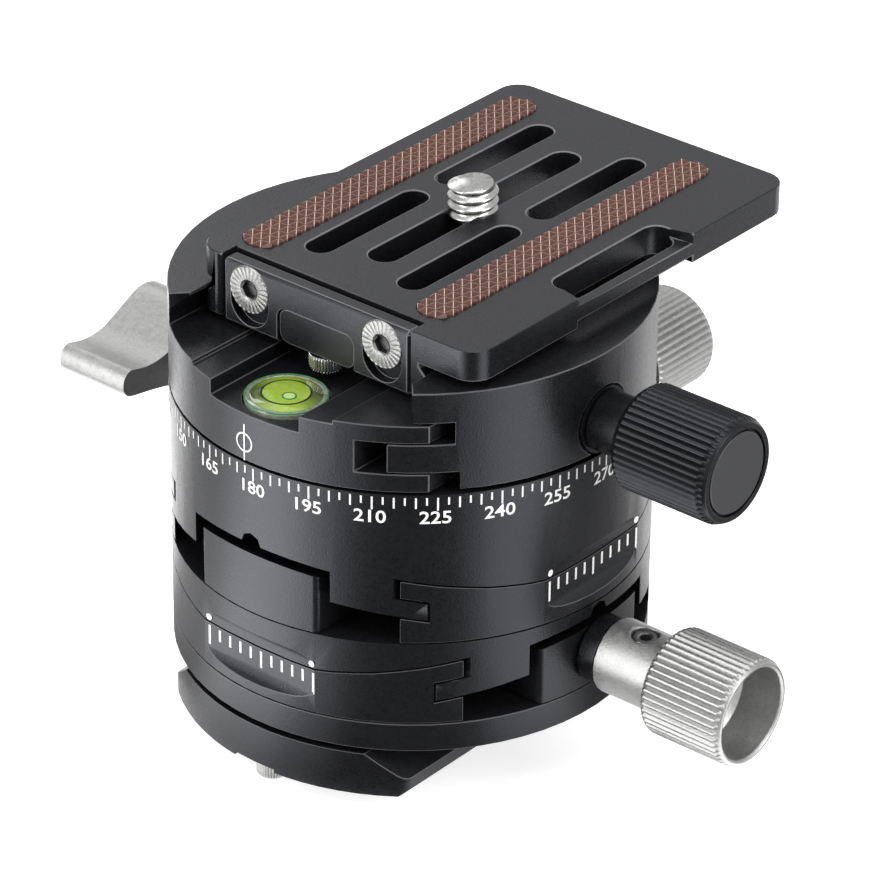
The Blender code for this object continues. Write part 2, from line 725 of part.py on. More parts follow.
def carriage(name, seat, top, heading, flat):
    """A tilting block: the arc underneath, two T-shaped feet and the worm's channel."""
    centre = seat + ARC_HEIGHT + ARC_RADIUS
    far = BODY_RADIUS + OVERRUN
    made = rod(name, BODY_RADIUS, seat, top, BODY_FACETS)
    reach = WORM_HALF_LENGTH / WORM_AXIS_RADIUS + TRAVEL + math.radians(CHANNEL_MARGIN_DEG)
    crest = WORM_AXIS_RADIUS - WORM_OUTER_RADIUS - WORM_ROOM
    long = (WORM_HALF_LENGTH + WORM_ROOM + JOURNAL) / WORM_AXIS_RADIUS
    long += TRAVEL + math.radians(CHANNEL_MARGIN_DEG)
    side = WORM_OUTER_RADIUS + WORM_ROOM
    ridge = GEAR_PITCH_RADIUS + MODULE
    sector = SECTOR_HALF_WIDTH + FIT_GAP
    length = (SECTOR_TEETH_EACH_SIDE + 1) * TOOTH_PITCH
    cut(made,
        below(name + "_foot", centre, TONGUE_UNDER, -far, far, heading),
        below(name + "_window", centre, ARC_RADIUS + CEILING_DROP, -STEM_INNER, STEM_INNER, heading))
    for sign in (-1, 1):
        edges = sorted((sign * STEM_OUTER, sign * far))
        tips = sorted((sign * TONGUE_OUTER, sign * far))
        tag = "_near" if sign < 0 else "_far"
        cut(made,
            band(name + "_lip" + tag, centre, ARC_RADIUS - HALF_GAP, TONGUE_TOP, *edges, heading),
            below(name + "_wall" + tag, centre, LIP_UNDER, *tips, heading))
    cut(made,
        below(name + "_channel", centre, crest, -side, side, heading, reach),
        below(name + "_pedestal_way", centre, ridge, -WORM_OUTER_RADIUS - FIT_GAP,
              WORM_OUTER_RADIUS + FIT_GAP, heading, long),
        arc_tube(name + "_shaft_way", centre, WORM_AXIS_RADIUS, SHAFT_RADIUS + NOTCH_ROOM, heading),
        block(name + "_sector_seat", (-length, -sector, seat),
              (length, sector, seat + ARC_HEIGHT + SECTOR_ROOF + FIT_GAP), axes(heading)),
        flat)
    return made


def gear_sector(name, seat, heading, holder):
    """A strip of helical teeth that the worm drives, on the carriage's underside."""
    centre = seat + ARC_HEIGHT + ARC_RADIUS
    tip = GEAR_PITCH_RADIUS + MODULE
    root = GEAR_PITCH_RADIUS - MODULE - ROOT_CLEARANCE
    half = (TOOTH_PITCH - BACKLASH) / 4
    tip_half = half - MODULE * PRESSURE
    root_half = half + (MODULE + ROOT_CLEARANCE) * PRESSURE
    outline = []
    for count in range(-SECTOR_TEETH_EACH_SIDE, SECTOR_TEETH_EACH_SIDE + 1):
        middle = count * TOOTH_PITCH / GEAR_PITCH_RADIUS
        for radius, shift in ((root, -root_half), (tip, -tip_half), (tip, tip_half), (root, root_half)):
            turn = middle + shift / GEAR_PITCH_RADIUS
            outline.append((radius * math.sin(turn), centre - radius * math.cos(turn)))
    roof = seat + ARC_HEIGHT + SECTOR_ROOF
    outline += [(outline[-1][0], roof), (outline[0][0], roof)]
    made = plate(name, outline, -SECTOR_HALF_WIDTH, SECTOR_HALF_WIDTH, side_view())
    lean = MODULE * WORM_STARTS / 2 / WORM_PITCH_RADIUS
    for point in made.data.vertices:
        point.co.x -= lean * point.co.y
    made.data.transform(axes(heading))
    return piece(made, BRASS, holder)


def worm(name, seat, heading, holder):
    """A two-start worm and its shaft, one turned piece."""
    tip_half = (TOOTH_PITCH - BACKLASH) / 4 - MODULE * PRESSURE
    root_half = tip_half + (2 * MODULE + ROOT_CLEARANCE) * PRESSURE
    places = ((-root_half, WORM_ROOT_RADIUS), (-tip_half, WORM_OUTER_RADIUS),
              (tip_half, WORM_OUTER_RADIUS), (root_half, WORM_ROOT_RADIUS),
              (TOOTH_PITCH / 2, WORM_ROOT_RADIUS))
    length = 2 * WORM_HALF_LENGTH
    start = -WORM_HALF_LENGTH
    bm = bmesh.new()
    ring = []
    for thread in range(WORM_STARTS):
        for shift, radius in places:
            # the groove faces +Z at the middle once the shape lies along X
            along = shift + (thread + 1 / 2) * TOOTH_PITCH
            turn = math.pi - 2 * math.pi * (along - start) / WORM_LEAD
            ring.append(bm.verts.new((radius * math.cos(turn), radius * math.sin(turn), 0)))
    for first, second in zip(ring, ring[1:] + ring[:1]):
        bm.edges.new((first, second))
    made = from_bmesh(name, bm)
    screw = made.modifiers.new("thread", "SCREW")
    screw.axis = "Z"
    screw.angle = 2 * math.pi * length / WORM_LEAD
    screw.screw_offset = length
    screw.steps = round(math.degrees(screw.angle) / WORM_STEP_DEG)
    screw.render_steps = screw.steps
    screw.use_merge_vertices = False
    made = settle(made)
    bm = bmesh.new()
    bm.from_mesh(made.data)
    bmesh.ops.holes_fill(bm, edges=[e for e in bm.edges if e.is_boundary])
    bmesh.ops.translate(bm, vec=(0, 0, start), verts=bm.verts)
    bmesh.ops.recalc_face_normals(bm, faces=bm.faces)
    bm.to_mesh(made.data)
    bm.free()
    lying = axes(heading) @ along_x(z=seat + WORM_AXIS_HEIGHT)
    made.data.transform(lying)
    tail = WORM_HALF_LENGTH + JOURNAL
    join(made, rod(name + "_shaft", SHAFT_RADIUS, -tail, KNOB_BORE_END - FIT_GAP,
                   SMALL_FACETS, lying))
    return piece(made, STEEL, holder)


def fluted(name, radius, depth, flutes, start, end, place):
    """A grip with fine flutes along its axis."""
    outline = []
    for count in range(2 * flutes):
        turn = math.pi * count / flutes
        size = radius if count % 2 else radius - depth
        outline.append((size * math.cos(turn), size * math.sin(turn)))
    return plate(name, outline, start, end, place)


def adjusting_knob(name, seat, heading, holder):
    """Silver knob: a plain hub, a fluted grip and a bored cup in its end."""
    lying = axes(heading) @ along_x(z=seat + WORM_AXIS_HEIGHT)
    made = turned(name, [
        (0, GRIP_END), (GRIP_RADIUS - GRIP_EDGE, GRIP_END),
        (GRIP_RADIUS + OVERRUN, GRIP_END - GRIP_EDGE - OVERRUN),
        (GRIP_RADIUS + OVERRUN, GRIP_START + GRIP_EDGE + OVERRUN),
        (GRIP_RADIUS - GRIP_EDGE, GRIP_START), (HUB_RADIUS, GRIP_START),
        (HUB_RADIUS, HUB_START + BODY_EDGE), (HUB_RADIUS - BODY_EDGE, HUB_START),
        (0, HUB_START)], ROUND_FACETS, lying)
    shape = fluted(name + "_flutes", GRIP_RADIUS, FLUTE_DEPTH, GRIP_FLUTES,
                   HUB_START - OVERRUN, GRIP_END + OVERRUN, lying)
    keep(made, shape)
    floor = GRIP_END - CUP_DEPTH
    cup = turned(name + "_cup", [
        (0, GRIP_END + OVERRUN), (CUP_RADIUS + CUP_EDGE, GRIP_END + OVERRUN),
        (CUP_RADIUS + CUP_EDGE, GRIP_END), (CUP_RADIUS, GRIP_END - CUP_EDGE),
        (CUP_RADIUS, floor), (0, floor)], ROUND_FACETS, lying)
    upright = axes(heading) @ Matrix.Translation((SET_SCREW_AT, 0, seat + WORM_AXIS_HEIGHT))
    cut(made, cup,
        rod(name + "_bore", SHAFT_RADIUS + FIT_GAP, HUB_START - OVERRUN, KNOB_BORE_END,
            SMALL_FACETS, lying),
        rod(name + "_tapping", SET_SCREW_RADIUS + FIT_GAP, 0, HUB_RADIUS + OVERRUN,
            SMALL_FACETS, upright))
    return piece(made, SILVER, holder)


def set_screw(name, seat, heading, holder):
    """The knob's radial set screw, with its hexagon socket."""
    upright = axes(heading) @ Matrix.Translation((SET_SCREW_AT, 0, seat + WORM_AXIS_HEIGHT))
    top = HUB_RADIUS - SET_SCREW_SUNK
    made = rod(name, SET_SCREW_RADIUS, SHAFT_RADIUS + FIT_GAP, top, SMALL_FACETS, upright)
    cut(made, rod(name + "_socket", SET_SCREW_SOCKET, top - SET_SCREW_SOCKET_DEPTH,
                  top + OVERRUN, 6, upright))
    return piece(made, DARK_STEEL, holder)


# Joint frames
lower_centre = LOWER_SEAT + ARC_HEIGHT + ARC_RADIUS
upper_centre = UPPER_SEAT + ARC_HEIGHT + ARC_RADIUS
base_at = empty("at_base", (0, 0, 0))
lower_drive_at = empty("at_lower_drive", (0, 0, LOWER_SEAT + WORM_AXIS_HEIGHT), base_at)
lower_tilt_at = empty("at_lower_tilt", (0, 0, lower_centre), base_at)
upper_drive_at = empty("at_upper_drive", (0, 0, UPPER_SEAT + WORM_AXIS_HEIGHT), lower_tilt_at)
upper_tilt_at = empty("at_upper_tilt", (0, 0, upper_centre), lower_tilt_at)
lever_at = empty("at_pan_lever", (-LEVER_INNER, 0, BRAKE_Z), upper_tilt_at)
pan_at = empty("at_pan", (0, 0, PLATFORM_BOTTOM), upper_tilt_at)
jaw_at = empty("at_jaw", (JAW_WALL, 0, CLAMP_Z), pan_at)
clamp_at = empty("at_clamp_knob", (CLAMP_GRIP_START, 0, CLAMP_Z), jaw_at)
plate_at = empty("at_camera_plate", (0, 0, PLATE_BOTTOM), pan_at)
lip_at = empty("at_lip", (0, PLATE_FRONT, LIP_LOW), plate_at)
carrier_at = empty("at_screw_carrier", (0, CAMERA_SCREW_Y, PLATE_BOTTOM), plate_at)
screw_at = empty("at_camera_screw", (0, CAMERA_SCREW_Y, PLATE_BOTTOM), carrier_at)

# Foot and base disc
foot = plate("foot_plate", round_ended(DOVETAIL_HALF, FOOT_CORNER, BODY_FACETS // 4),
             -OVERRUN, FOOT_TOP + OVERRUN, axes(UPPER_HEADING))
foot_spare = 2 * FIT_GAP
foot_slope = (FOOT_TOP - FOOT_LAND) / (DOVETAIL_HALF - FOOT_NECK_HALF)
foot_profile = [
    (DOVETAIL_HALF - FOOT_BEVEL, 0), (DOVETAIL_HALF + foot_spare, FOOT_BEVEL + foot_spare),
    (DOVETAIL_HALF + foot_spare, FOOT_LAND - foot_slope * foot_spare), (FOOT_NECK_HALF, FOOT_TOP)]
foot_profile += [(-u, v) for u, v in foot_profile[::-1]]
foot_far = BODY_RADIUS + OVERRUN
keep(foot, plate("foot_section", foot_profile, -foot_far, foot_far, side_view()))
join(foot, rod("foot_boss", FOOT_BOSS_RADIUS, FOOT_LAND, DISC_BOTTOM - SEAM, ROUND_FACETS))
cut(foot,
    block("foot_notch", (-FOOT_NOTCH_HALF, -foot_far, -OVERRUN),
          (FOOT_NOTCH_HALF, FOOT_NOTCH_LENGTH - BODY_RADIUS, FOOT_NOTCH_DEPTH)),
    rod("foot_bore", BUSH_RADIUS + FIT_GAP, -OVERRUN, DISC_BOTTOM + OVERRUN),
    rod("foot_stop_hole", STOP_STEM + FIT_GAP, -OVERRUN, STOP_STEM_LENGTH + FIT_GAP, SMALL_FACETS,
        Matrix.Translation((0, -FOOT_STOP_Y, 0))))
for side, (sx, sy) in enumerate(((-1, -1), (1, -1), (1, 1), (-1, 1))):
    spot = Matrix.Translation((sx * FOOT_SCREW_X, sy * FOOT_SCREW_Y, 0))
    cut(foot,
        rod("foot_cone_%d" % side, M4_HEAD_RADIUS + 2 * FIT_GAP, -FIT_GAP, M4_HEAD + FIT_GAP,
            SMALL_FACETS, spot, M4_RADIUS + FIT_GAP),
        rod("foot_hole_%d" % side, M4_RADIUS + FIT_GAP, 0, DISC_BOTTOM + OVERRUN,
            SMALL_FACETS, spot))
piece(foot, BLACK, base_at)

bush = turned("tripod_bushing", [
    (TRIPOD_THREAD_RADIUS, BUSH_HEIGHT), (BUSH_FLANGE_RADIUS, BUSH_HEIGHT),
    (BUSH_FLANGE_RADIUS, BUSH_HEIGHT - BUSH_FLANGE), (BUSH_RADIUS, BUSH_HEIGHT - BUSH_FLANGE),
    (BUSH_RADIUS, FIT_GAP), (TRIPOD_THREAD_RADIUS, FIT_GAP)])
piece(bush, STEEL, base_at)

stop = rod("foot_stop_screw", STOP_RADIUS, -FOOT_STOP_DROP, FOOT_NOTCH_DEPTH - FIT_GAP,
           ROUND_FACETS, Matrix.Translation((0, -FOOT_STOP_Y, 0)))
join(stop, rod("foot_stop_stem", STOP_STEM, 0, STOP_STEM_LENGTH, SMALL_FACETS,
               Matrix.Translation((0, -FOOT_STOP_Y, 0))))
piece(stop, STEEL, base_at)

disc_top = LOWER_SEAT - SEAM
disc = rod("base_disc", BODY_RADIUS, DISC_BOTTOM, disc_top, BODY_FACETS)
cut(disc,
    rod("disc_bore", BUSH_RADIUS + FIT_GAP, DISC_BOTTOM - OVERRUN, BUSH_HEIGHT),
    rod("disc_flange_room", BUSH_FLANGE_RADIUS + FIT_GAP, BUSH_HEIGHT - BUSH_FLANGE - FIT_GAP,
        LOWER_SEAT + OVERRUN))
for side, (sx, sy) in enumerate(((-1, -1), (1, -1), (1, 1), (-1, 1))):
    spot = Matrix.Translation((sx * FOOT_SCREW_X, sy * FOOT_SCREW_Y, 0))
    cut(disc, rod("disc_hole_%d" % side, M4_RADIUS + FIT_GAP, DISC_BOTTOM - OVERRUN,
                  M4_LENGTH + FIT_GAP, SMALL_FACETS, spot))
    bolt = turned("foot_screw_%d" % (side + 1), [
        (0, M4_LENGTH), (M4_RADIUS, M4_LENGTH), (M4_RADIUS, M4_HEAD),
        (M4_HEAD_RADIUS, FIT_GAP), (0, FIT_GAP)], SMALL_FACETS, spot)
    cut(bolt, rod("foot_socket_%d" % side, M4_SOCKET, -OVERRUN, M4_SOCKET_DEPTH, 6, spot))
    piece(bolt, STEEL, base_at)
piece(disc, BLACK, base_at)

# Lower stage
lower_flat = pocket("lower_scale_flat", LOWER_SEAT, LOWER_HEADING)
rail("lower_rail_front", LOWER_SEAT, LOWER_HEADING, base_at, lower_flat)
rail("lower_rail_back", LOWER_SEAT, LOWER_HEADING + math.pi, base_at)
worm_housing("lower_worm_housing", LOWER_SEAT, LOWER_HEADING, base_at)
worm_bush("lower_worm_bush", LOWER_SEAT, LOWER_HEADING, base_at)
worm("lower_worm", LOWER_SEAT, LOWER_HEADING, lower_drive_at)
adjusting_knob("lower_knob", LOWER_SEAT, LOWER_HEADING, lower_drive_at)
set_screw("lower_knob_screw", LOWER_SEAT, LOWER_HEADING, lower_drive_at)
lower_carriage = carriage("lower_carriage", LOWER_SEAT, UPPER_SEAT - SEAM, LOWER_HEADING, lower_flat)
piece(lower_carriage, BLACK, lower_tilt_at)
gear_sector("lower_gear_sector", LOWER_SEAT, LOWER_HEADING, lower_tilt_at)

# Upper stage
upper_flat = pocket("upper_scale_flat", UPPER_SEAT, UPPER_HEADING)
rail("upper_rail_right", UPPER_SEAT, UPPER_HEADING, lower_tilt_at, upper_flat)
rail("upper_rail_left", UPPER_SEAT, UPPER_HEADING + math.pi, lower_tilt_at)
worm_housing("upper_worm_housing", UPPER_SEAT, UPPER_HEADING, lower_tilt_at)
worm_bush("upper_worm_bush", UPPER_SEAT, UPPER_HEADING, lower_tilt_at)
worm("upper_worm", UPPER_SEAT, UPPER_HEADING, upper_drive_at)
adjusting_knob("upper_knob", UPPER_SEAT, UPPER_HEADING, upper_drive_at)
set_screw("upper_knob_screw", UPPER_SEAT, UPPER_HEADING, upper_drive_at)
gear_sector("upper_gear_sector", UPPER_SEAT, UPPER_HEADING, upper_tilt_at)

# Pan base, brake and lever
pan_base = carriage("pan_base", UPPER_SEAT, PAN_TOP, UPPER_HEADING, upper_flat)
well_floor = PAN_TOP - SPINDLE_DEPTH
retainer_seat = PAN_TOP - RETAINER_SUNK - RETAINER_THICK
brake_line = along_x(z=BRAKE_Z)
cut(pan_base,
    rod("pan_well", SPINDLE_FLANGE_RADIUS + FIT_GAP, well_floor, PAN_TOP + OVERRUN, ROUND_FACETS),
    rod("pan_retainer_seat", RETAINER_RADIUS + FIT_GAP, retainer_seat - FIT_GAP, PAN_TOP + OVERRUN,
        ROUND_FACETS),
    rod("brake_bore", SHOE_RADIUS + FIT_GAP, -BODY_RADIUS - OVERRUN, -SPINDLE_FLANGE_RADIUS,
        SMALL_FACETS, brake_line))
piece(pan_base, BLACK, upper_tilt_at)

ring = turned("spindle_retainer", [
    (SPINDLE_RADIUS + FIT_GAP, PAN_TOP - RETAINER_SUNK), (RETAINER_RADIUS, PAN_TOP - RETAINER_SUNK),
    (RETAINER_RADIUS, retainer_seat), (SPINDLE_RADIUS + FIT_GAP, retainer_seat)], ROUND_FACETS)
piece(ring, STEEL, upper_tilt_at)

flange_top = retainer_seat - FIT_GAP
spindle = turned("pan_spindle", [
    (0, PLATFORM_BOTTOM + SPINDLE_RISE), (SPINDLE_RADIUS, PLATFORM_BOTTOM + SPINDLE_RISE),
    (SPINDLE_RADIUS, flange_top), (SPINDLE_FLANGE_RADIUS, flange_top),
    (SPINDLE_FLANGE_RADIUS, well_floor + FIT_GAP), (0, well_floor + FIT_GAP)], ROUND_FACETS)
piece(spindle, STEEL, pan_at)

shoe_end = -SPINDLE_FLANGE_RADIUS - 2 * FIT_GAP
shoe = rod("brake_shoe", SHOE_RADIUS, shoe_end - SHOE_LENGTH, shoe_end, SMALL_FACETS, brake_line)
piece(shoe, POLYMER, upper_tilt_at)

collar = rod("lever_collar", LEVER_COLLAR_RADIUS, -LEVER_INNER + FIT_GAP,
             -BODY_RADIUS + FIT_GAP, ROUND_FACETS, brake_line)
cut(collar,
    rod("lever_collar_bore", STUD_RADIUS + FIT_GAP, -LEVER_INNER - OVERRUN, -BODY_RADIUS + OVERRUN,
        SMALL_FACETS, brake_line),
    rod("lever_collar_seat", BODY_RADIUS + FIT_GAP, BRAKE_Z - LEVER_HUB, BRAKE_Z + LEVER_HUB, BODY_FACETS))
piece(collar, BLACK, upper_tilt_at)

stud_inner = shoe_end - SHOE_LENGTH - FIT_GAP
stud = rod("lever_stud", STUD_RADIUS, -LEVER_STUD_END, stud_inner, SMALL_FACETS, brake_line)
piece(stud, STEEL, lever_at)

lever_outline = arc(LEVER_HUB, (0, BRAKE_Z), -math.pi * 3 / 4 + math.pi / 2, math.pi, 14)
lever_outline += [(-LEVER_REACH * u, BRAKE_Z + LEVER_HUB * v) for u, v in LEVER_TOP_SHARES]
lever_outline += [(-LEVER_REACH * u, BRAKE_Z + LEVER_HUB * v) for u, v in LEVER_BOTTOM_SHARES]
lever = plate("pan_lever", lever_outline, -LEVER_INNER - LEVER_WIDTH, -LEVER_INNER, end_view())
lever_bevel = lever.modifiers.new("edge", "BEVEL")
lever_bevel.width = LEVER_EDGE
lever_bevel.segments = 2
lever_bevel.limit_method = "ANGLE"
lever_bevel.angle_limit = math.radians(2 * SHARP_DEG)
cut(lever, rod("lever_bore", STUD_RADIUS + FIT_GAP, -LEVER_STUD_END - FIT_GAP,
               -LEVER_INNER + OVERRUN, SMALL_FACETS, brake_line))
piece(lever, SILVER, lever_at)

# Platform and fixed jaw
platform = rod("platform", BODY_RADIUS, PLATFORM_BOTTOM, PLATFORM_TOP, BODY_FACETS)
tongue_low = PLATFORM_BOTTOM + TONGUE_BOTTOM
tongue_high = tongue_low + TONGUE_HEIGHT
channel_far = BODY_RADIUS + OVERRUN
flare_top = PLATE_BOTTOM + DOVETAIL_LAND + DOVETAIL_FLARE
neck_half = DOVETAIL_HALF - DOVETAIL_FLARE
# jaw faces stand off the plate's flare by the fit gap, measured level
side_gap = 2 * FIT_GAP
jaw_tip = PLATFORM_TOP - JAW_TIP_HEIGHT
tip_half = neck_half + side_gap + flare_top - jaw_tip
root_half = DOVETAIL_HALF + side_gap
roof = LEDGE + JAW_ROOF_GAP
channel = [
    (channel_far, LEDGE), (channel_far, PLATFORM_TOP + OVERRUN), (-tip_half, PLATFORM_TOP + OVERRUN),
    (-tip_half, jaw_tip), (-root_half, flare_top - DOVETAIL_FLARE), (-root_half, LEDGE),
    (-FLOOR_HALF, LEDGE), (-FLOOR_HALF, FLOOR), (FLOOR_HALF, FLOOR), (FLOOR_HALF, LEDGE)]
cut(platform,
    plate("clamp_channel", channel, -channel_far, channel_far, side_view()),
    block("jaw_space", (FINGER_END, -channel_far, PLATFORM_BOTTOM - OVERRUN),
          (channel_far + OVERRUN, channel_far, LEDGE + OVERRUN)),
    block("tongue_slot", (TONGUE_SLOT_END, -channel_far, tongue_low - FINGER_GAP),
          (channel_far, channel_far, tongue_high + FINGER_GAP)),
    block("level_pocket", (-POCKET_WIDTH_HALF, -channel_far, POCKET_FLOOR),
          (POCKET_WIDTH_HALF, POCKET_BACK, LEDGE + OVERRUN)),
    rod("level_bore", LEVEL_RADIUS + FIT_GAP, POCKET_FLOOR - LEVEL_SEAT, LEDGE, ROUND_FACETS,
        Matrix.Translation((LEVEL_X, -LEVEL_Y, 0))),
    rod("spindle_seat", SPINDLE_RADIUS + FIT_GAP, PLATFORM_BOTTOM - OVERRUN,
        PLATFORM_BOTTOM + SPINDLE_RISE + FIT_GAP, ROUND_FACETS),
    rod("rod_bore", ROD_RADIUS + FIT_GAP, ROD_START - FIT_GAP, TONGUE_SLOT_END, SMALL_FACETS,
        along_x(z=CLAMP_Z)),
    rod("jaw_boss_bore", JAW_BOSS_RADIUS + FIT_GAP, TONGUE_SLOT_END - SPRING_SEAT,
        FINGER_END + OVERRUN, ROUND_FACETS, along_x(z=CLAMP_Z)))


def corner_cut(name, sx, sy, low, high):
    """Takes the sharp inner corner off a jaw where it meets the round edge."""
    outline = [(sx * (tip_half - OVERRUN), sy * JAW_CORNER_Y), (sx * tip_half, sy * JAW_CORNER_Y),
               (sx * JAW_CORNER_X, sy * math.sqrt(BODY_RADIUS ** 2 - JAW_CORNER_X ** 2)),
               (sx * JAW_CORNER_X, sy * channel_far), (sx * (tip_half - OVERRUN), sy * channel_far)]
    return plate(name, outline, low, high)


for sign in (-1, 1):
    cut(platform, corner_cut("fixed_jaw_corner_%d" % (sign + 1), -1, sign, LEDGE, PLATFORM_TOP + OVERRUN))
piece(platform, BLACK, pan_at)

# Moving jaw
jaw_far = channel_far
jaw_profile = [
    (JAW_WALL_LOW, PLATFORM_BOTTOM + JAW_FOOT), (jaw_far, PLATFORM_BOTTOM + JAW_FOOT),
    (jaw_far, PLATFORM_TOP), (tip_half, PLATFORM_TOP), (tip_half, jaw_tip),
    (root_half, flare_top - DOVETAIL_FLARE), (root_half, roof),
    (JAW_WALL, roof), (JAW_WALL, tongue_high), (TONGUE_START, tongue_high),
    (TONGUE_START, tongue_low), (JAW_WALL_LOW, tongue_low)]
jaw = rod("moving_jaw", BODY_RADIUS, PLATFORM_BOTTOM + JAW_FOOT, PLATFORM_TOP, BODY_FACETS)
keep(jaw, plate("jaw_section", jaw_profile, -channel_far, channel_far, side_view()))
join(jaw, rod("jaw_boss", JAW_BOSS_RADIUS, TONGUE_START, JAW_WALL_LOW + OVERRUN, ROUND_FACETS,
              along_x(z=CLAMP_Z)))
for sign in (-1, 1):
    cut(jaw, corner_cut("moving_jaw_corner_%d" % (sign + 1), 1, sign, LEDGE, PLATFORM_TOP + OVERRUN))
washer_seat = CLAMP_SEAT - CLAMP_WASHER
cut(jaw,
    rod("jaw_rod_bore", ROD_RADIUS + FIT_GAP, TONGUE_START - OVERRUN, channel_far, SMALL_FACETS,
        along_x(z=CLAMP_Z)),
    rod("jaw_washer_seat", CLAMP_SEAT_RADIUS + FIT_GAP, washer_seat - FIT_GAP, channel_far,
        ROUND_FACETS, along_x(z=CLAMP_Z)))
piece(jaw, BLACK, jaw_at)

clamp_line = along_x(z=CLAMP_Z)
washer = turned("clamp_washer", [
    (ROD_RADIUS + FIT_GAP, CLAMP_SEAT), (CLAMP_SEAT_RADIUS, CLAMP_SEAT),
    (CLAMP_SEAT_RADIUS, washer_seat), (ROD_RADIUS + FIT_GAP, washer_seat)], ROUND_FACETS, clamp_line)
piece(washer, STEEL, jaw_at)

knob_face = CLAMP_SEAT + FIT_GAP
knob = turned("clamp_knob", [
    (0, CLAMP_GRIP_END), (CLAMP_GRIP_RADIUS - CLAMP_EDGE, CLAMP_GRIP_END),
    (CLAMP_GRIP_RADIUS + OVERRUN, CLAMP_GRIP_END - CLAMP_EDGE - OVERRUN),
    (CLAMP_GRIP_RADIUS + OVERRUN, CLAMP_GRIP_START + CLAMP_EDGE + OVERRUN),
    (CLAMP_GRIP_RADIUS - CLAMP_EDGE, CLAMP_GRIP_START), (CLAMP_NECK_RADIUS, CLAMP_GRIP_START),
    (CLAMP_NECK_RADIUS, knob_face), (0, knob_face)], ROUND_FACETS, clamp_line)
keep(knob, fluted("clamp_knob_flutes", CLAMP_GRIP_RADIUS, CLAMP_FLUTE_DEPTH, CLAMP_FLUTES,
                  CLAMP_SEAT - OVERRUN, CLAMP_GRIP_END + OVERRUN, clamp_line))
cut(knob,
    rod("clamp_knob_bore", ROD_RADIUS + FIT_GAP, CLAMP_SEAT - OVERRUN,
        CLAMP_GRIP_START + ROD_KNOB_DEPTH + FIT_GAP, SMALL_FACETS, clamp_line),
    rod("clamp_cap_seat", CLAMP_CAP_RADIUS + FIT_GAP, CLAMP_GRIP_END - CLAMP_CAP_DEPTH,
        CLAMP_GRIP_END + OVERRUN, ROUND_FACETS, clamp_line))
piece(knob, BLACK, clamp_at)
cap = rod("clamp_knob_cap", CLAMP_CAP_RADIUS, CLAMP_GRIP_END - CLAMP_CAP_DEPTH + FIT_GAP,
          CLAMP_GRIP_END - FIT_GAP, ROUND_FACETS, clamp_line)
piece(cap, BLACK, clamp_at)
clamp_rod = rod("clamp_rod", ROD_RADIUS, ROD_START, CLAMP_GRIP_START + ROD_KNOB_DEPTH, SMALL_FACETS,
                clamp_line)
piece(clamp_rod, STEEL, clamp_at)

# Clamp spring
coil = bpy.data.curves.new("clamp_spring", "CURVE")
coil.dimensions = "3D"
coil.bevel_depth = SPRING_WIRE
coil.bevel_resolution = 0
coil.use_fill_caps = True
wire = coil.splines.new("POLY")
spring_start = TONGUE_SLOT_END - SPRING_SEAT + SPRING_WIRE + FIT_GAP
spring_end = TONGUE_START - SPRING_WIRE - FIT_GAP
wire.points.add(SPRING_TURNS * SPRING_POINTS)
for count, point in enumerate(wire.points):
    turn = 2 * math.pi * count / SPRING_POINTS
    share = count / (SPRING_TURNS * SPRING_POINTS)
    point.co = (spring_start + share * (spring_end - spring_start), SPRING_RADIUS * math.cos(turn),
                CLAMP_Z + SPRING_RADIUS * math.sin(turn), 1)
spring = bpy.data.objects.new("clamp_spring", coil)
tools.objects.link(spring)
piece(settle(spring), STEEL, pan_at)

# Bubble level
level_spot = Matrix.Translation((LEVEL_X, -LEVEL_Y, 0))
level_low = POCKET_FLOOR - LEVEL_SEAT + FIT_GAP
level_top = POCKET_FLOOR + LEVEL_RISE
cup_floor = level_low + LEVEL_FLOOR_THICK
level_cup = turned("level_cup", [
    (LEVEL_RADIUS - LEVEL_WALL, level_top), (LEVEL_RADIUS, level_top), (LEVEL_RADIUS, level_low),
    (0, level_low), (0, cup_floor), (LEVEL_RADIUS - LEVEL_WALL, cup_floor)], ROUND_FACETS, level_spot)
piece(level_cup, DARK_STEEL, pan_at)
vial_radius = LEVEL_RADIUS - LEVEL_WALL - FIT_GAP
vial = turned("level_vial", [
    (0, level_top + LEVEL_DOME), (vial_radius * math.sin(math.pi / 6), level_top + LEVEL_DOME * math.cos(math.pi / 6)),
    (vial_radius * math.sin(math.pi / 3), level_top + LEVEL_DOME * math.cos(math.pi / 3)),
    (vial_radius, level_top), (vial_radius, cup_floor + FIT_GAP), (0, cup_floor + FIT_GAP)],
    ROUND_FACETS, level_spot)
piece(vial, VIAL, pan_at)

# Camera plate
flange_low = PLATE_TOP - FLANGE_THICK
section = [
    (-DOVETAIL_HALF + DOVETAIL_BEVEL, PLATE_BOTTOM), (DOVETAIL_HALF - DOVETAIL_BEVEL, PLATE_BOTTOM),
    (DOVETAIL_HALF, PLATE_BOTTOM + DOVETAIL_BEVEL), (DOVETAIL_HALF, PLATE_BOTTOM + DOVETAIL_LAND),
    (neck_half, flare_top), (neck_half, flange_low), (PLATE_RIGHT + OVERRUN, flange_low),
    (PLATE_RIGHT + OVERRUN, PLATE_TOP + OVERRUN), (PLATE_LEFT - OVERRUN, PLATE_TOP + OVERRUN),
    (PLATE_LEFT - OVERRUN, flange_low), (-neck_half, flange_low), (-neck_half, flare_top),
    (-DOVETAIL_HALF, PLATE_BOTTOM + DOVETAIL_LAND), (-DOVETAIL_HALF, PLATE_BOTTOM + DOVETAIL_BEVEL)]
camera_plate = plate("camera_plate", rounded(PLATE_LEFT, PLATE_RIGHT, PLATE_FRONT, PLATE_BACK,
                                             PLATE_CORNER), PLATE_BOTTOM - OVERRUN, PLATE_TOP)
edge = camera_plate.modifiers.new("edge", "BEVEL")
edge.width = PLATE_EDGE
edge.segments = 1
edge.limit_method = "ANGLE"
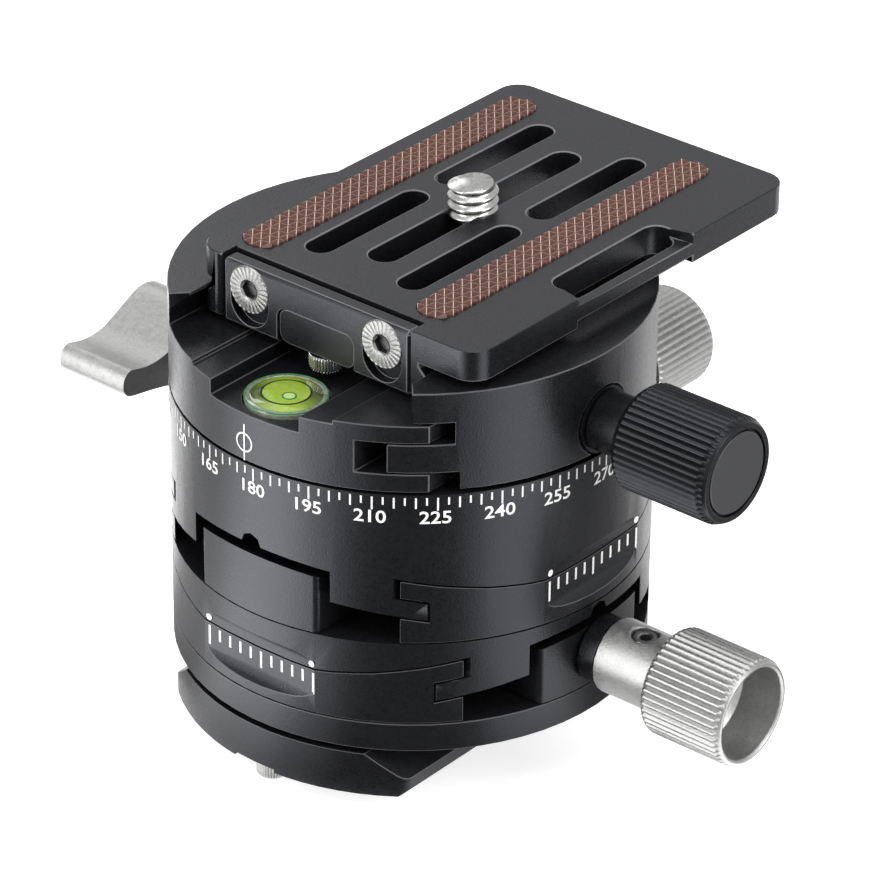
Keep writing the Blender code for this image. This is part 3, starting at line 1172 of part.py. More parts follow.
edge.angle_limit = math.radians(2 * SHARP_DEG)
keep(camera_plate, plate("plate_section", section, -PLATE_BACK - OVERRUN, -PLATE_FRONT + OVERRUN, side_view()))


def slot(name, x, start, end, half, low, high):
    """A slot with round ends along Y."""
    return plate(name, rounded(x - half, x + half, start, end, half, 5), low, high)


plate_over = PLATE_TOP + OVERRUN
plate_under = PLATE_BOTTOM - OVERRUN
groove_top = PLATE_BOTTOM + GROOVE_DEPTH
mouth_start = STRAP_START - STRAP_FLARE
mouth_end = STRAP_END + STRAP_FLARE
mouth_inner = STRAP_LEFT + STRAP_WIDTH / 2
mouth = [(mouth_inner, STRAP_START + BODY_EDGE), (PLATE_RIGHT, mouth_start), (PLATE_RIGHT + OVERRUN, mouth_start),
         (PLATE_RIGHT + OVERRUN, mouth_end), (PLATE_RIGHT, mouth_end), (mouth_inner, STRAP_END - BODY_EDGE)]
rebate_half = LIP_HALF + LIP_SIDE_GAP
rebate_back = LIP_BACK + FIT_GAP
cut(camera_plate,
    slot("slot_front_left", -SLOT_X, FRONT_SLOT_START, FRONT_SLOT_END, SLOT_HALF, plate_under, plate_over),
    slot("slot_front_right", SLOT_X, FRONT_SLOT_START, FRONT_SLOT_END, SLOT_HALF, plate_under, plate_over),
    slot("slot_back_left", -SLOT_X, BACK_SLOT_START, BACK_SLOT_END, SLOT_HALF, plate_under, plate_over),
    slot("slot_back_right", SLOT_X, BACK_SLOT_START, BACK_SLOT_END, SLOT_HALF, plate_under, plate_over),
    slot("slot_screw", 0, SCREW_SLOT_START, SCREW_SLOT_END, SCREW_SLOT_HALF, plate_under, plate_over),
    slot("screw_groove", 0, FRONT_SLOT_START - GROOVE_END_MARGIN / 2, PLATE_BACK - GROOVE_END_MARGIN,
         GROOVE_HALF, plate_under, groove_top),
    slot("strap_slot", (STRAP_LEFT + STRAP_RIGHT) / 2, STRAP_START, STRAP_END,
         (STRAP_RIGHT - STRAP_LEFT) / 2, plate_under, plate_over),
    plate("strap_bar_top", mouth, PLATE_TOP - BAR_DROP, plate_over),
    block("strap_bar_under", (mouth_inner, mouth_start, flange_low - OVERRUN),
          (PLATE_RIGHT + OVERRUN, mouth_end, flange_low + BAR_RISE)),
    block("lip_rebate", (-rebate_half, PLATE_FRONT - OVERRUN, plate_under),
          (rebate_half, rebate_back, plate_over)))
boss_half = ARCH_HALF - LIP_SIDE_GAP
boss_outline = rounded(-boss_half, boss_half, PLATE_BOTTOM - BOSS_DROP,
                       LIP_LOW + ARCH_TOP - LIP_SIDE_GAP, ARCH_CORNER - LIP_SIDE_GAP, 5)
join(camera_plate, plate("stop_boss", boss_outline, -rebate_back - OVERRUN,
                         -PLATE_FRONT - BOSS_SETBACK, side_view()))
cut(camera_plate, rod("stop_hole", PLATE_STOP_STEM + FIT_GAP, plate_under,
                      PLATE_BOTTOM + PLATE_STOP_DEPTH + FIT_GAP, SMALL_FACETS,
                      Matrix.Translation((0, -PLATE_STOP_Y, 0))))
screw_line_z = PLATE_TOP - LIP_SCREW_DROP
for sign in (-1, 1):
    line = along_y(sign * LIP_SCREW_X, 0, screw_line_z)
    strip_x = sorted((sign * STRIP_INNER, sign * STRIP_OUTER))
    radius = (STRIP_OUTER - STRIP_INNER) / 2
    tag = "left" if sign < 0 else "right"
    cut(camera_plate,
        rod("lip_tapping_" + tag, LIP_SCREW_STEM + FIT_GAP, PLATE_FRONT - OVERRUN,
            PLATE_FRONT + LIP_SCREW_LENGTH + FIT_GAP, SMALL_FACETS, line),
        plate("strip_seat_" + tag, rounded(strip_x[0], strip_x[1], STRIP_START, STRIP_END, radius, 6),
              PLATE_TOP - STRIP_SUNK, plate_over))
    grip = plate("rubber_strip_" + tag,
                 rounded(strip_x[0] + BODY_EDGE, strip_x[1] - BODY_EDGE, STRIP_START + BODY_EDGE,
                         STRIP_END - BODY_EDGE, radius - BODY_EDGE, 6),
                 PLATE_TOP - STRIP_SUNK + BODY_EDGE / 2, PLATE_TOP + STRIP_RISE)
    piece(grip, RUBBER, plate_at)
    head_at = PLATE_FRONT + LIP_SLOT_DEPTH - FIT_GAP
    screw = rod("lip_screw_" + tag, LIP_SCREW_RADIUS, head_at - LIP_SCREW_HEAD, head_at,
                ROUND_FACETS, line)
    join(screw, rod("lip_screw_stem_" + tag, LIP_SCREW_STEM, head_at - LIP_SCREW_HEAD / 2,
                    PLATE_FRONT + LIP_SCREW_LENGTH, SMALL_FACETS, line))
    cut(screw, rod("lip_screw_socket_" + tag, LIP_SCREW_SOCKET, PLATE_FRONT - OVERRUN,
                   head_at - LIP_SCREW_HEAD + LIP_SCREW_SOCKET_DEPTH, 6, line))
    piece(screw, STEEL, plate_at)
piece(camera_plate, BLACK, plate_at)

stop_spot = Matrix.Translation((0, -PLATE_STOP_Y, 0))
plate_stop_top = PLATE_BOTTOM - PLATE_STOP_DROP
plate_stop = rod("plate_stop_screw", PLATE_STOP_RADIUS, plate_stop_top - PLATE_STOP_HEAD, plate_stop_top,
                 ROUND_FACETS, stop_spot)
join(plate_stop, rod("plate_stop_stem", PLATE_STOP_STEM, plate_stop_top - PLATE_STOP_HEAD / 2,
                     PLATE_BOTTOM + PLATE_STOP_DEPTH, SMALL_FACETS, stop_spot))
piece(plate_stop, STEEL, plate_at)

# Anti-twist lip
lip = block("anti_twist_lip", (-LIP_HALF, PLATE_FRONT, LIP_LOW), (LIP_HALF, LIP_BACK, LIP_HIGH))
lip_edge = lip.modifiers.new("edge", "BEVEL")
lip_edge.width = LIP_EDGE
lip_edge.segments = 1
lip_edge.limit_method = "ANGLE"
arch_outline = rounded(-ARCH_HALF, ARCH_HALF, LIP_LOW - ARCH_TOP, LIP_LOW + ARCH_TOP, ARCH_CORNER, 5)
cut(lip, plate("lip_arch", arch_outline, -LIP_BACK - OVERRUN, -PLATE_FRONT + OVERRUN, side_view()))
slot_floor = PLATE_FRONT + LIP_SLOT_DEPTH
wide = LIP_SCREW_RADIUS + FIT_GAP
narrow = LIP_SCREW_STEM + FIT_GAP
slot_low = screw_line_z - LIP_SLOT_TRAVEL
for sign in (-1, 1):
    x = sign * LIP_SCREW_X
    tag = "left" if sign < 0 else "right"
    cut(lip,
        plate("lip_counterbore_" + tag,
              rounded(x - wide, x + wide, slot_low - wide, screw_line_z + wide, wide, 8),
              -slot_floor, -PLATE_FRONT + OVERRUN, side_view()),
        plate("lip_slot_" + tag,
              rounded(x - narrow, x + narrow, slot_low - narrow, screw_line_z + narrow, narrow, 5),
              -LIP_BACK - OVERRUN, -slot_floor + OVERRUN, side_view()))
piece(lip, BLACK, lip_at)

# Camera screw
screw_spot = Matrix.Translation((0, CAMERA_SCREW_Y, 0))
clip_top = groove_top - FIT_GAP
head_top = clip_top - CLIP_THICK - FIT_GAP
clip = turned("screw_clip", [
    (CAMERA_NECK_RADIUS + FIT_GAP, clip_top), (CLIP_RADIUS, clip_top), (CLIP_RADIUS, clip_top - CLIP_THICK),
    (CAMERA_NECK_RADIUS + FIT_GAP, clip_top - CLIP_THICK)], ROUND_FACETS, screw_spot)
piece(clip, STEEL, carrier_at)
thread_low = PLATE_TOP + CAMERA_THREAD_START
camera_screw = turned("camera_screw", [
    (0, PLATE_TOP + CAMERA_RISE), (CAMERA_THREAD_RADIUS - CAMERA_TIP, PLATE_TOP + CAMERA_RISE),
    (CAMERA_THREAD_RADIUS, PLATE_TOP + CAMERA_RISE - CAMERA_TIP), (CAMERA_THREAD_RADIUS, thread_low),
    (CAMERA_NECK_RADIUS, thread_low), (CAMERA_NECK_RADIUS, head_top), (CAMERA_HEAD_RADIUS, head_top),
    (CAMERA_HEAD_RADIUS, head_top - CAMERA_HEAD), (0, head_top - CAMERA_HEAD)], ROUND_FACETS, screw_spot)
cut(camera_screw, block(
    "screw_drive", (-channel_far, CAMERA_SCREW_Y - CAMERA_DRIVE_HALF, head_top - CAMERA_HEAD - OVERRUN),
    (channel_far, CAMERA_SCREW_Y + CAMERA_DRIVE_HALF, head_top - CAMERA_HEAD + CAMERA_DRIVE_DEPTH)))
piece(camera_screw, STEEL, screw_at)

print("pieces", sum(1 for made in model.objects if made.type == "MESH"))
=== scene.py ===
# %% [markdown]
# # A geared tripod head
# A small machined head: round aluminium blocks, black anodised and bead-blasted, with
# silver knobs and a slotted camera plate on top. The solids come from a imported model, in
# metres, with +Z up and the foot's underside at zero. This lesson gives them their
# finishes and adds what is too fine for a solid: soft edges, flutes, scales and threads.

# %% The frame
import json
import math

import bmesh
import bpy
from mathutils import Matrix, Vector


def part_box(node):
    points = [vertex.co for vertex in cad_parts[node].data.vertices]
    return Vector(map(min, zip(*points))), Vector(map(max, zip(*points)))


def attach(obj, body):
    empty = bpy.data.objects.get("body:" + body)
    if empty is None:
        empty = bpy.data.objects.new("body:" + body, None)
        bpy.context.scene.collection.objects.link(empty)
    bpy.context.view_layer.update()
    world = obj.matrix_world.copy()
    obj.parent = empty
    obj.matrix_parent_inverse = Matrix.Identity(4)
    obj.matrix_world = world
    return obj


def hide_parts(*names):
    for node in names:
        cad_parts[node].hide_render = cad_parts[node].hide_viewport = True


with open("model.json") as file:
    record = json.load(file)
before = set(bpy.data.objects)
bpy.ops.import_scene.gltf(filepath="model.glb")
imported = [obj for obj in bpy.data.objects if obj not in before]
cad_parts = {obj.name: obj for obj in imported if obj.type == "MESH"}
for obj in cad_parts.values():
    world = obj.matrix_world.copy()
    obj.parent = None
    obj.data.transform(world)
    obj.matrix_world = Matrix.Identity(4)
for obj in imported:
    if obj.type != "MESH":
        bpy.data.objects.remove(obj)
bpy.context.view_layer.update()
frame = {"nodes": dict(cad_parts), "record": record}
scene = bpy.context.scene
scene.view_settings.view_transform = "Standard"

# %% [markdown]
# ## The camera
# The photograph is a long-lens product shot from the front right and above. Three angles
# turn the camera, a long lens keeps the verticals straight, and a very small shift puts
# the head where the picture has it.

# %% The camera
AZIMUTH = math.radians(39.9)
ELEVATION = math.radians(29.487)
ROLL = math.radians(0.509)
CAMERA_SPOT = (0.3376, -0.4013, 0.3303)
LENS = 198.67
SHIFT = (0.0172, -0.0047)
back = Vector((math.sin(AZIMUTH) * math.cos(ELEVATION),
               -math.cos(AZIMUTH) * math.cos(ELEVATION), math.sin(ELEVATION)))
right = Vector((math.cos(AZIMUTH), math.sin(AZIMUTH), 0))
up = back.cross(right)
rolled_right = right * math.cos(ROLL) + up * math.sin(ROLL)
rolled_up = up * math.cos(ROLL) - right * math.sin(ROLL)
camera_data = bpy.data.cameras.new("camera")
camera_data.sensor_width = 36
camera_data.lens = LENS
camera_data.shift_x, camera_data.shift_y = SHIFT
camera = bpy.data.objects.new("camera", camera_data)
scene.collection.objects.link(camera)
place = Matrix((rolled_right, rolled_up, back)).transposed().to_4x4()
place.translation = CAMERA_SPOT
camera.matrix_world = place
scene.camera = camera
print("camera at", [round(value, 3) for value in camera.location])

# %% [markdown]
# ## Floor and light
# The picture is lit like most small products: a wide soft box on each side and a bright
# room. Long boxes leave tall soft streaks on the round black walls. The floor and the
# world look pure white to the camera, but light the head at a plain level.

# %% Floor
FLOOR_DROP = 0.0035
FLOOR_SIZE = 4
FLOOR_TONE = 0.80
SEEN_LIFT = 0.72


def seen_rays(tree):
    """One for what is seen by the camera, in gloss or through glass, and nought for light."""
    path = tree.nodes.new("ShaderNodeLightPath")
    seen = path.outputs["Is Camera Ray"]
    for kind in ("Is Glossy Ray", "Is Transmission Ray"):
        either = tree.nodes.new("ShaderNodeMath")
        either.operation = "MAXIMUM"
        tree.links.new(seen, either.inputs[0])
        tree.links.new(path.outputs[kind], either.inputs[1])
        seen = either.outputs[0]
    return seen


def seen_white(tree, lit):
    """Lifts a lit shader to white where it is seen, so only the shadow stays grey."""
    lift = tree.nodes.new("ShaderNodeEmission")
    lift.inputs["Color"].default_value = (1, 1, 1, 1)
    lift.inputs["Strength"].default_value = SEEN_LIFT
    both = tree.nodes.new("ShaderNodeAddShader")
    tree.links.new(lit, both.inputs[0])
    tree.links.new(lift.outputs[0], both.inputs[1])
    mix = tree.nodes.new("ShaderNodeMixShader")
    tree.links.new(seen_rays(tree), mix.inputs["Fac"])
    tree.links.new(lit, mix.inputs[1])
    tree.links.new(both.outputs[0], mix.inputs[2])
    return mix.outputs[0]


floor_mesh = bpy.data.meshes.new("floor")
bm = bmesh.new()
bmesh.ops.create_grid(bm, x_segments=1, y_segments=1, size=FLOOR_SIZE)
bmesh.ops.translate(bm, vec=(0, 0, -FLOOR_DROP), verts=bm.verts)
bm.to_mesh(floor_mesh)
bm.free()
floor = bpy.data.objects.new("floor", floor_mesh)
scene.collection.objects.link(floor)
floor_paint = bpy.data.materials.new("floor_paint")
floor_paint.use_nodes = True
floor_shader = floor_paint.node_tree.nodes["Principled BSDF"]
floor_shader.inputs["Base Color"].default_value = (FLOOR_TONE, FLOOR_TONE, FLOOR_TONE, 1)
floor_shader.inputs["Roughness"].default_value = 0.9
floor_out = floor_paint.node_tree.nodes["Material Output"]
floor_paint.node_tree.links.new(
    seen_white(floor_paint.node_tree, floor_shader.outputs[0]), floor_out.inputs["Surface"])
floor.data.materials.append(floor_paint)
print("floor at", -FLOOR_DROP)

# %% World and soft boxes
ROOM_LIGHT = 0.45
LAMP_AIM = Vector((0, 0, 0.03))
world = bpy.data.worlds.new("room")
scene.world = world
world.use_nodes = True
room = world.node_tree.nodes["Background"]
room.inputs["Color"].default_value = (1, 1, 1, 1)
room.inputs["Strength"].default_value = ROOM_LIGHT
bright = world.node_tree.nodes.new("ShaderNodeBackground")
bright.inputs["Strength"].default_value = 1.0
blend = world.node_tree.nodes.new("ShaderNodeMixShader")
world.node_tree.links.new(seen_rays(world.node_tree), blend.inputs["Fac"])
world.node_tree.links.new(room.outputs[0], blend.inputs[1])
world.node_tree.links.new(bright.outputs[0], blend.inputs[2])
world.node_tree.links.new(blend.outputs[0], world.node_tree.nodes["World Output"].inputs[0])


def soft_box(name, turn, height, distance, width, tall, power):
    """A rectangular lamp aimed at the head: degrees from the camera, then metres and watts."""
    lamp = bpy.data.lights.new(name, "AREA")
    lamp.shape = "RECTANGLE"
    lamp.size = width
    lamp.size_y = tall
    lamp.energy = power
    made = bpy.data.objects.new(name, lamp)
    scene.collection.objects.link(made)
    angle = AZIMUTH - math.pi / 2 + math.radians(turn)
    spot = Vector((math.cos(angle) * distance, math.sin(angle) * distance, height))
    aim = (LAMP_AIM - spot).to_track_quat("-Z", "Y").to_matrix().to_4x4()
    made.matrix_world = Matrix.Translation(spot) @ aim


soft_box("box_left", -62, 0.35, 0.75, 0.35, 0.7, 4.0)
soft_box("box_right", 58, 0.40, 0.75, 0.40, 0.7, 4.5)
soft_box("box_top", 10, 0.95, 0.25, 0.7, 0.7, 4.5)
soft_box("box_back", 205, 0.50, 0.80, 0.5, 0.35, 1.1)
print("lamps:", len(bpy.data.lights))

# %% [markdown]
# Round black walls show what stands round them, and under a raised camera that is the
# table. A studio lays white and black cards there to draw soft bright and dark streaks
# down the walls. One ring of card does it here, painted from white to black by its
# compass turn from the camera, and dimmer close to the foot. Only gloss sees it, so the
# floor stays plain.

# %% The ring of card on the table
CARD_TONES = [(-180, 0.34), (-150, 0.42), (-130, 0.42), (-112, 0.16), (-92, 0.18),
              (-66, 0.74), (-50, 0.78), (-35, 0.30), (-19, 0.016), (6, 0.010), (20, 0.03),
              (34, 0.38), (52, 0.44), (66, 0.08), (82, 0.06), (102, 0.10), (124, 0.26),
              (146, 0.14), (180, 0.34)]
CARD_STRENGTH = 6.8
CARD_INNER = 0.034
CARD_OUTER = 1.4
CARD_LIFT = 0.0004
NEAR_FOOT = (0.036, 0.056)
NEAR_SHARE = 0.3
bm = bmesh.new()
bmesh.ops.create_circle(bm, cap_ends=False, segments=64, radius=CARD_OUTER)
bmesh.ops.create_circle(bm, cap_ends=False, segments=64, radius=CARD_INNER)
bmesh.ops.bridge_loops(bm, edges=bm.edges[:])
bmesh.ops.translate(bm, vec=(0, 0, CARD_LIFT - FLOOR_DROP), verts=bm.verts)
card_mesh = bpy.data.meshes.new("card_ring")
bm.to_mesh(card_mesh)
bm.free()
card_ring = bpy.data.objects.new("card_ring", card_mesh)
scene.collection.objects.link(card_ring)
card_ring.visible_camera = False
card_ring.visible_diffuse = False
card_ring.visible_shadow = False
card_ring.visible_transmission = False
card_paint = bpy.data.materials.new("card_paint")
card_paint.use_nodes = True
tree = card_paint.node_tree
tree.nodes.remove(tree.nodes["Principled BSDF"])
where = tree.nodes.new("ShaderNodeTexCoord")
turned = tree.nodes.new("ShaderNodeMapping")
turned.inputs["Rotation"].default_value = (0, 0, math.pi / 2 - AZIMUTH)
tree.links.new(where.outputs["Object"], turned.inputs["Vector"])
round_turn = tree.nodes.new("ShaderNodeTexGradient")
round_turn.gradient_type = "RADIAL"
tree.links.new(turned.outputs["Vector"], round_turn.inputs["Vector"])
tones = tree.nodes.new("ShaderNodeValToRGB")
tones.color_ramp.interpolation = "EASE"
for index, (turn, tone) in enumerate(CARD_TONES):
    place_on_ramp = 0.5 + turn / 360
    if index < 2:
        stop = tones.color_ramp.elements[index]
        stop.position = place_on_ramp
    else:
        stop = tones.color_ramp.elements.new(place_on_ramp)
    stop.color = (tone, tone, tone, 1)
tree.links.new(round_turn.outputs["Fac"], tones.inputs["Fac"])
card_glow = tree.nodes.new("ShaderNodeEmission")
span = tree.nodes.new("ShaderNodeVectorMath")
span.operation = "LENGTH"
tree.links.new(where.outputs["Object"], span.inputs[0])
near_dim = tree.nodes.new("ShaderNodeMapRange")
near_dim.inputs["From Min"].default_value = NEAR_FOOT[0]
near_dim.inputs["From Max"].default_value = NEAR_FOOT[1]
near_dim.inputs["To Min"].default_value = NEAR_SHARE * CARD_STRENGTH
near_dim.inputs["To Max"].default_value = CARD_STRENGTH
tree.links.new(span.outputs["Value"], near_dim.inputs["Value"])
tree.links.new(near_dim.outputs["Result"], card_glow.inputs["Strength"])
tree.links.new(tones.outputs["Color"], card_glow.inputs["Color"])
tree.links.new(card_glow.outputs[0], tree.nodes["Material Output"].inputs["Surface"])
card_ring.data.materials.append(card_paint)
print("card tones:", len(CARD_TONES))

# %% [markdown]
# ## One grain for every blasted surface
# Bead blasting leaves a fine, even grain of tiny dents. Anodising keeps it and adds a
# faint unevenness of tone. Marked faces also get a painted colour: a painted highlight on
# edges, and painted shade on the level's liquid. A shader group makes all three once, and
# each finish gives it its own colours, roughness and depth. The painted colour comes from a
# value that each piece's faces carry, so it stays with the mesh.

# %% The grain group
GRAIN_SCALE = 5200.0
SPOT_SCALE = 1500.0
CLOUD_SCALE = 60.0
TONE_SPAN = (0.36, 0.64)
GRAIN_HEIGHT = 0.00004


def socket(group, name, kind, way, value=None):
    made = group.interface.new_socket(name=name, in_out=way, socket_type=kind)
    if value is not None:
        made.default_value = value
    return made


def noise(tree, vector, scale, detail=2.0):
    made = tree.nodes.new("ShaderNodeTexNoise")
    made.inputs["Scale"].default_value = scale
    made.inputs["Detail"].default_value = detail
    tree.links.new(vector, made.inputs["Vector"])
    return made.outputs["Fac"]


def blasted_group():
    group = bpy.data.node_groups.new("blasted_grain", "ShaderNodeTree")
    socket(group, "Dark", "NodeSocketColor", "INPUT", (0.02, 0.02, 0.02, 1))
    socket(group, "Light", "NodeSocketColor", "INPUT", (0.04, 0.04, 0.04, 1))
    socket(group, "Smoothest", "NodeSocketFloat", "INPUT", 0.35)
    socket(group, "Roughest", "NodeSocketFloat", "INPUT", 0.5)
    socket(group, "Depth", "NodeSocketFloat", "INPUT", 0.2)
    socket(group, "Edge", "NodeSocketColor", "INPUT", (0.04, 0.04, 0.04, 1))
    socket(group, "Color", "NodeSocketColor", "OUTPUT")
    socket(group, "Roughness", "NodeSocketFloat", "OUTPUT")
    socket(group, "Normal", "NodeSocketVector", "OUTPUT")
    ends = group.nodes.new("NodeGroupInput")
    out = group.nodes.new("NodeGroupOutput")
    where = group.nodes.new("ShaderNodeTexCoord").outputs["Object"]
    grain = noise(group, where, GRAIN_SCALE, 1.0)
    clouds = noise(group, where, CLOUD_SCALE, 3.0)
    spots = noise(group, where, SPOT_SCALE, 2.0)
    mixed = None
    for source, share in ((spots, 0.3), (clouds, 0.3), (grain, 0.4)):
        part = group.nodes.new("ShaderNodeMath")
        part.operation = "MULTIPLY_ADD"
        part.inputs[1].default_value = share
        part.inputs[2].default_value = 0.0
        group.links.new(source, part.inputs[0])
        if mixed:
            group.links.new(mixed.outputs[0], part.inputs[2])
        mixed = part
    tone = group.nodes.new("ShaderNodeMapRange")
    tone.inputs["From Min"].default_value = TONE_SPAN[0]
    tone.inputs["From Max"].default_value = TONE_SPAN[1]
    group.links.new(mixed.outputs[0], tone.inputs["Value"])
    colour = group.nodes.new("ShaderNodeMix")
    colour.data_type = "RGBA"
    group.links.new(tone.outputs[0], colour.inputs["Factor"])
    group.links.new(ends.outputs["Dark"], colour.inputs[6])
    group.links.new(ends.outputs["Light"], colour.inputs[7])
    # The face value mixes in the Edge colour: a painted highlight on bevels and rubber ridges, and
    # painted shade on the level's liquid.
    painted_light_mask = group.nodes.new("ShaderNodeAttribute")
    painted_light_mask.attribute_name = "edge"
    painted_light_mix = group.nodes.new("ShaderNodeMix")
    painted_light_mix.data_type = "RGBA"
    group.links.new(painted_light_mask.outputs["Fac"], painted_light_mix.inputs["Factor"])
    group.links.new(colour.outputs[2], painted_light_mix.inputs[6])
    group.links.new(ends.outputs["Edge"], painted_light_mix.inputs[7])
    rough = group.nodes.new("ShaderNodeMapRange")
    group.links.new(tone.outputs[0], rough.inputs["Value"])
    group.links.new(ends.outputs["Smoothest"], rough.inputs["To Min"])
    group.links.new(ends.outputs["Roughest"], rough.inputs["To Max"])
    bump = group.nodes.new("ShaderNodeBump")
    bump.inputs["Distance"].default_value = GRAIN_HEIGHT
    group.links.new(grain, bump.inputs["Height"])
    group.links.new(ends.outputs["Depth"], bump.inputs["Strength"])
    group.links.new(painted_light_mix.outputs[2], out.inputs["Color"])
    group.links.new(rough.outputs["Result"], out.inputs["Roughness"])
    group.links.new(bump.outputs["Normal"], out.inputs["Normal"])
    return group


BLASTED = blasted_group()
print("grain group nodes:", len(BLASTED.nodes))

# %% [markdown]
# ## The finishes
# The head has few finishes: black and silver anodising, turned and blackened steel, brass,
# brown rubber, the level's liquid and glass, and ink. Each is the same grain with its own
# pair of colours, so nothing is one flat colour. Black anodising shines a little less than
# plain plastic would, and its shine is slightly blue.

# %% A finish
def finish(name, dark, light, smoothest, roughest, depth, metallic=0.0, edge=None, **plain):
    """A material: the grain group feeds its shader, and plain values sit on its sockets. Its edge
    colour is painted on marked faces, a painted highlight on edges and painted shade on the
    liquid; without it the light colour is used.
    """
    made = bpy.data.materials.new(name)
    made.use_nodes = True
    tree = made.node_tree
    shader = tree.nodes["Principled BSDF"]
    grain = tree.nodes.new("ShaderNodeGroup")
    grain.node_tree = BLASTED
    grain.inputs["Dark"].default_value = (*dark, 1)
    grain.inputs["Light"].default_value = (*light, 1)
    grain.inputs["Smoothest"].default_value = smoothest
    grain.inputs["Roughest"].default_value = roughest
    grain.inputs["Depth"].default_value = depth
    grain.inputs["Edge"].default_value = (*(edge or light), 1)
    tree.links.new(grain.outputs["Color"], shader.inputs["Base Color"])
    tree.links.new(grain.outputs["Roughness"], shader.inputs["Roughness"])
    tree.links.new(grain.outputs["Normal"], shader.inputs["Normal"])
    shader.inputs["Metallic"].default_value = metallic
    for key, value in plain.items():
        shader.inputs[key.replace("_", " ")].default_value = value
    return made


# %% Black finishes
DYE_DARK = (0.0052, 0.0054, 0.0061)
DYE_LIGHT = (0.0088, 0.0091, 0.0102)
DYE_TINT = (0.89, 0.91, 1.0, 1)
WALL_GLOSS = 0.38
KNOB_GLOSS = 0.26
# Each black finish's edge colour is a painted highlight on the bevels; black_plate's is brighter.
black = finish("black_anodised", DYE_DARK, DYE_LIGHT, 0.25, 0.36, 0.65,
               edge=(0.075, 0.075, 0.078), Specular_IOR_Level=WALL_GLOSS,
               Specular_Tint=DYE_TINT)
black_plate = finish("black_plate", DYE_DARK, DYE_LIGHT, 0.25, 0.36, 0.65,
                     edge=(0.14, 0.14, 0.145), Specular_IOR_Level=WALL_GLOSS,
                     Specular_Tint=DYE_TINT)
black_knob = finish("black_knurl", (0.0040, 0.0042, 0.0048), (0.0080, 0.0083, 0.0092),
                    0.24, 0.34, 0.25, edge=(0.05, 0.05, 0.052),
                    Specular_IOR_Level=KNOB_GLOSS, Specular_Tint=DYE_TINT)
black_cap = finish("black_disc", (0.020, 0.0205, 0.022), (0.028, 0.0285, 0.031),
                   0.42, 0.50, 0.25)
black_ink = finish("black_ink", (0.004, 0.004, 0.004), (0.008, 0.008, 0.008),
                   0.30, 0.40, 0.05)

# %% The other finishes
# The liquid's dark edge colour is the painted shade on its sides.
liquid = finish("level_liquid", (0.22, 0.40, 0.03), (0.40, 0.52, 0.07), 0.06, 0.10, 0.0,
                edge=(0.030, 0.050, 0.022), Coat_Weight=1.0, Coat_Roughness=0.03)
clear_rim = finish("level_rim", (0.12, 0.14, 0.10), (0.30, 0.33, 0.26), 0.05, 0.10, 0.0,
                   Coat_Weight=1.0, Coat_Roughness=0.03)
# Green glass for the rim's edge, and also the painted shade ring round the bubble.
green_glass_and_bubble_shade = finish("green_glass_and_bubble_shade", (0.02, 0.14, 0.05), (0.05, 0.26, 0.10), 0.06, 0.10, 0.0)
pale_bubble = finish("pale_bubble", (0.42, 0.55, 0.16), (0.55, 0.68, 0.24), 0.05, 0.08, 0.0)
silver = finish("silver_anodised", (0.31, 0.31, 0.305), (0.45, 0.45, 0.445),
                0.38, 0.50, 0.9, metallic=1.0)
steel = finish("turned_steel", (0.38, 0.38, 0.37), (0.52, 0.52, 0.51),
               0.20, 0.32, 0.05, metallic=1.0)
# Blackened steel for the foot screws and the clip, and also the painted shade in the screw
# sockets.
dark_steel = finish("blackened_steel_and_socket_shade", (0.05, 0.05, 0.052), (0.09, 0.09, 0.092),
                    0.30, 0.40, 0.05, metallic=0.8)
screw_steel = finish("screw_steel", (0.12, 0.12, 0.118), (0.30, 0.30, 0.295),
                     0.28, 0.40, 0.35, metallic=1.0)
brass = finish("machined_brass", (0.50, 0.36, 0.14), (0.66, 0.50, 0.22),
               0.22, 0.32, 0.04, metallic=1.0)
# The rubber's pale edge colour is the painted highlight on the pyramids' ridges.
rubber = finish("brown_rubber", (0.060, 0.022, 0.015), (0.110, 0.043, 0.030),
                0.42, 0.55, 0.30, edge=(0.52, 0.38, 0.33), Specular_IOR_Level=0.35)
polymer = finish("pale_polymer", (0.60, 0.58, 0.52), (0.70, 0.68, 0.62), 0.45, 0.60, 0.10)
white_ink = finish("white_ink", (0.80, 0.80, 0.79), (0.90, 0.90, 0.89), 0.45, 0.60, 0.10)
print("finishes:", len(bpy.data.materials))

# %% [markdown]
# ## Soft edges on the imported solids
# A machined edge is never razor sharp: it is broken with a tiny chamfer, and that thin
# line is what catches the light on black. Each visible solid is copied, its loose
# triangles are welded into real faces, and its sharp edges are bevelled by a tenth or
# two of a millimetre. The bevel faces are marked, and the finish paints them a brighter
# colour as a painted highlight. The copy then stands for the solid. An edge whose
# neighbours are too short for its bevel is left sharp, so that no face folds over another.

# %% Dressing a solid
node_body = {node: body for body, nodes in frame["record"]["behaviour"]["bodies"].items()
             for node in nodes}
WELD = 0.000002
FLAT_WITHIN = math.radians(0.6)


def new_piece(name, bm, material, body, stands_for=(), sharp_over=32):
    """Turns a bmesh into a piece that rides on a body and stands for some solids."""
    mesh = bpy.data.meshes.new(name)
    bm.to_mesh(mesh)
    bm.free()
    mesh.shade_smooth()
    mesh.set_sharp_from_angle(angle=math.radians(sharp_over))
    made = bpy.data.objects.new(name, mesh)
    scene.collection.objects.link(made)
    made.data.materials.append(material)
    level = made.modifiers.new("flat_faces", "WEIGHTED_NORMAL")
    level.keep_sharp = True
    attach(made, body)
    if stands_for:
        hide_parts(*stands_for)
    return made


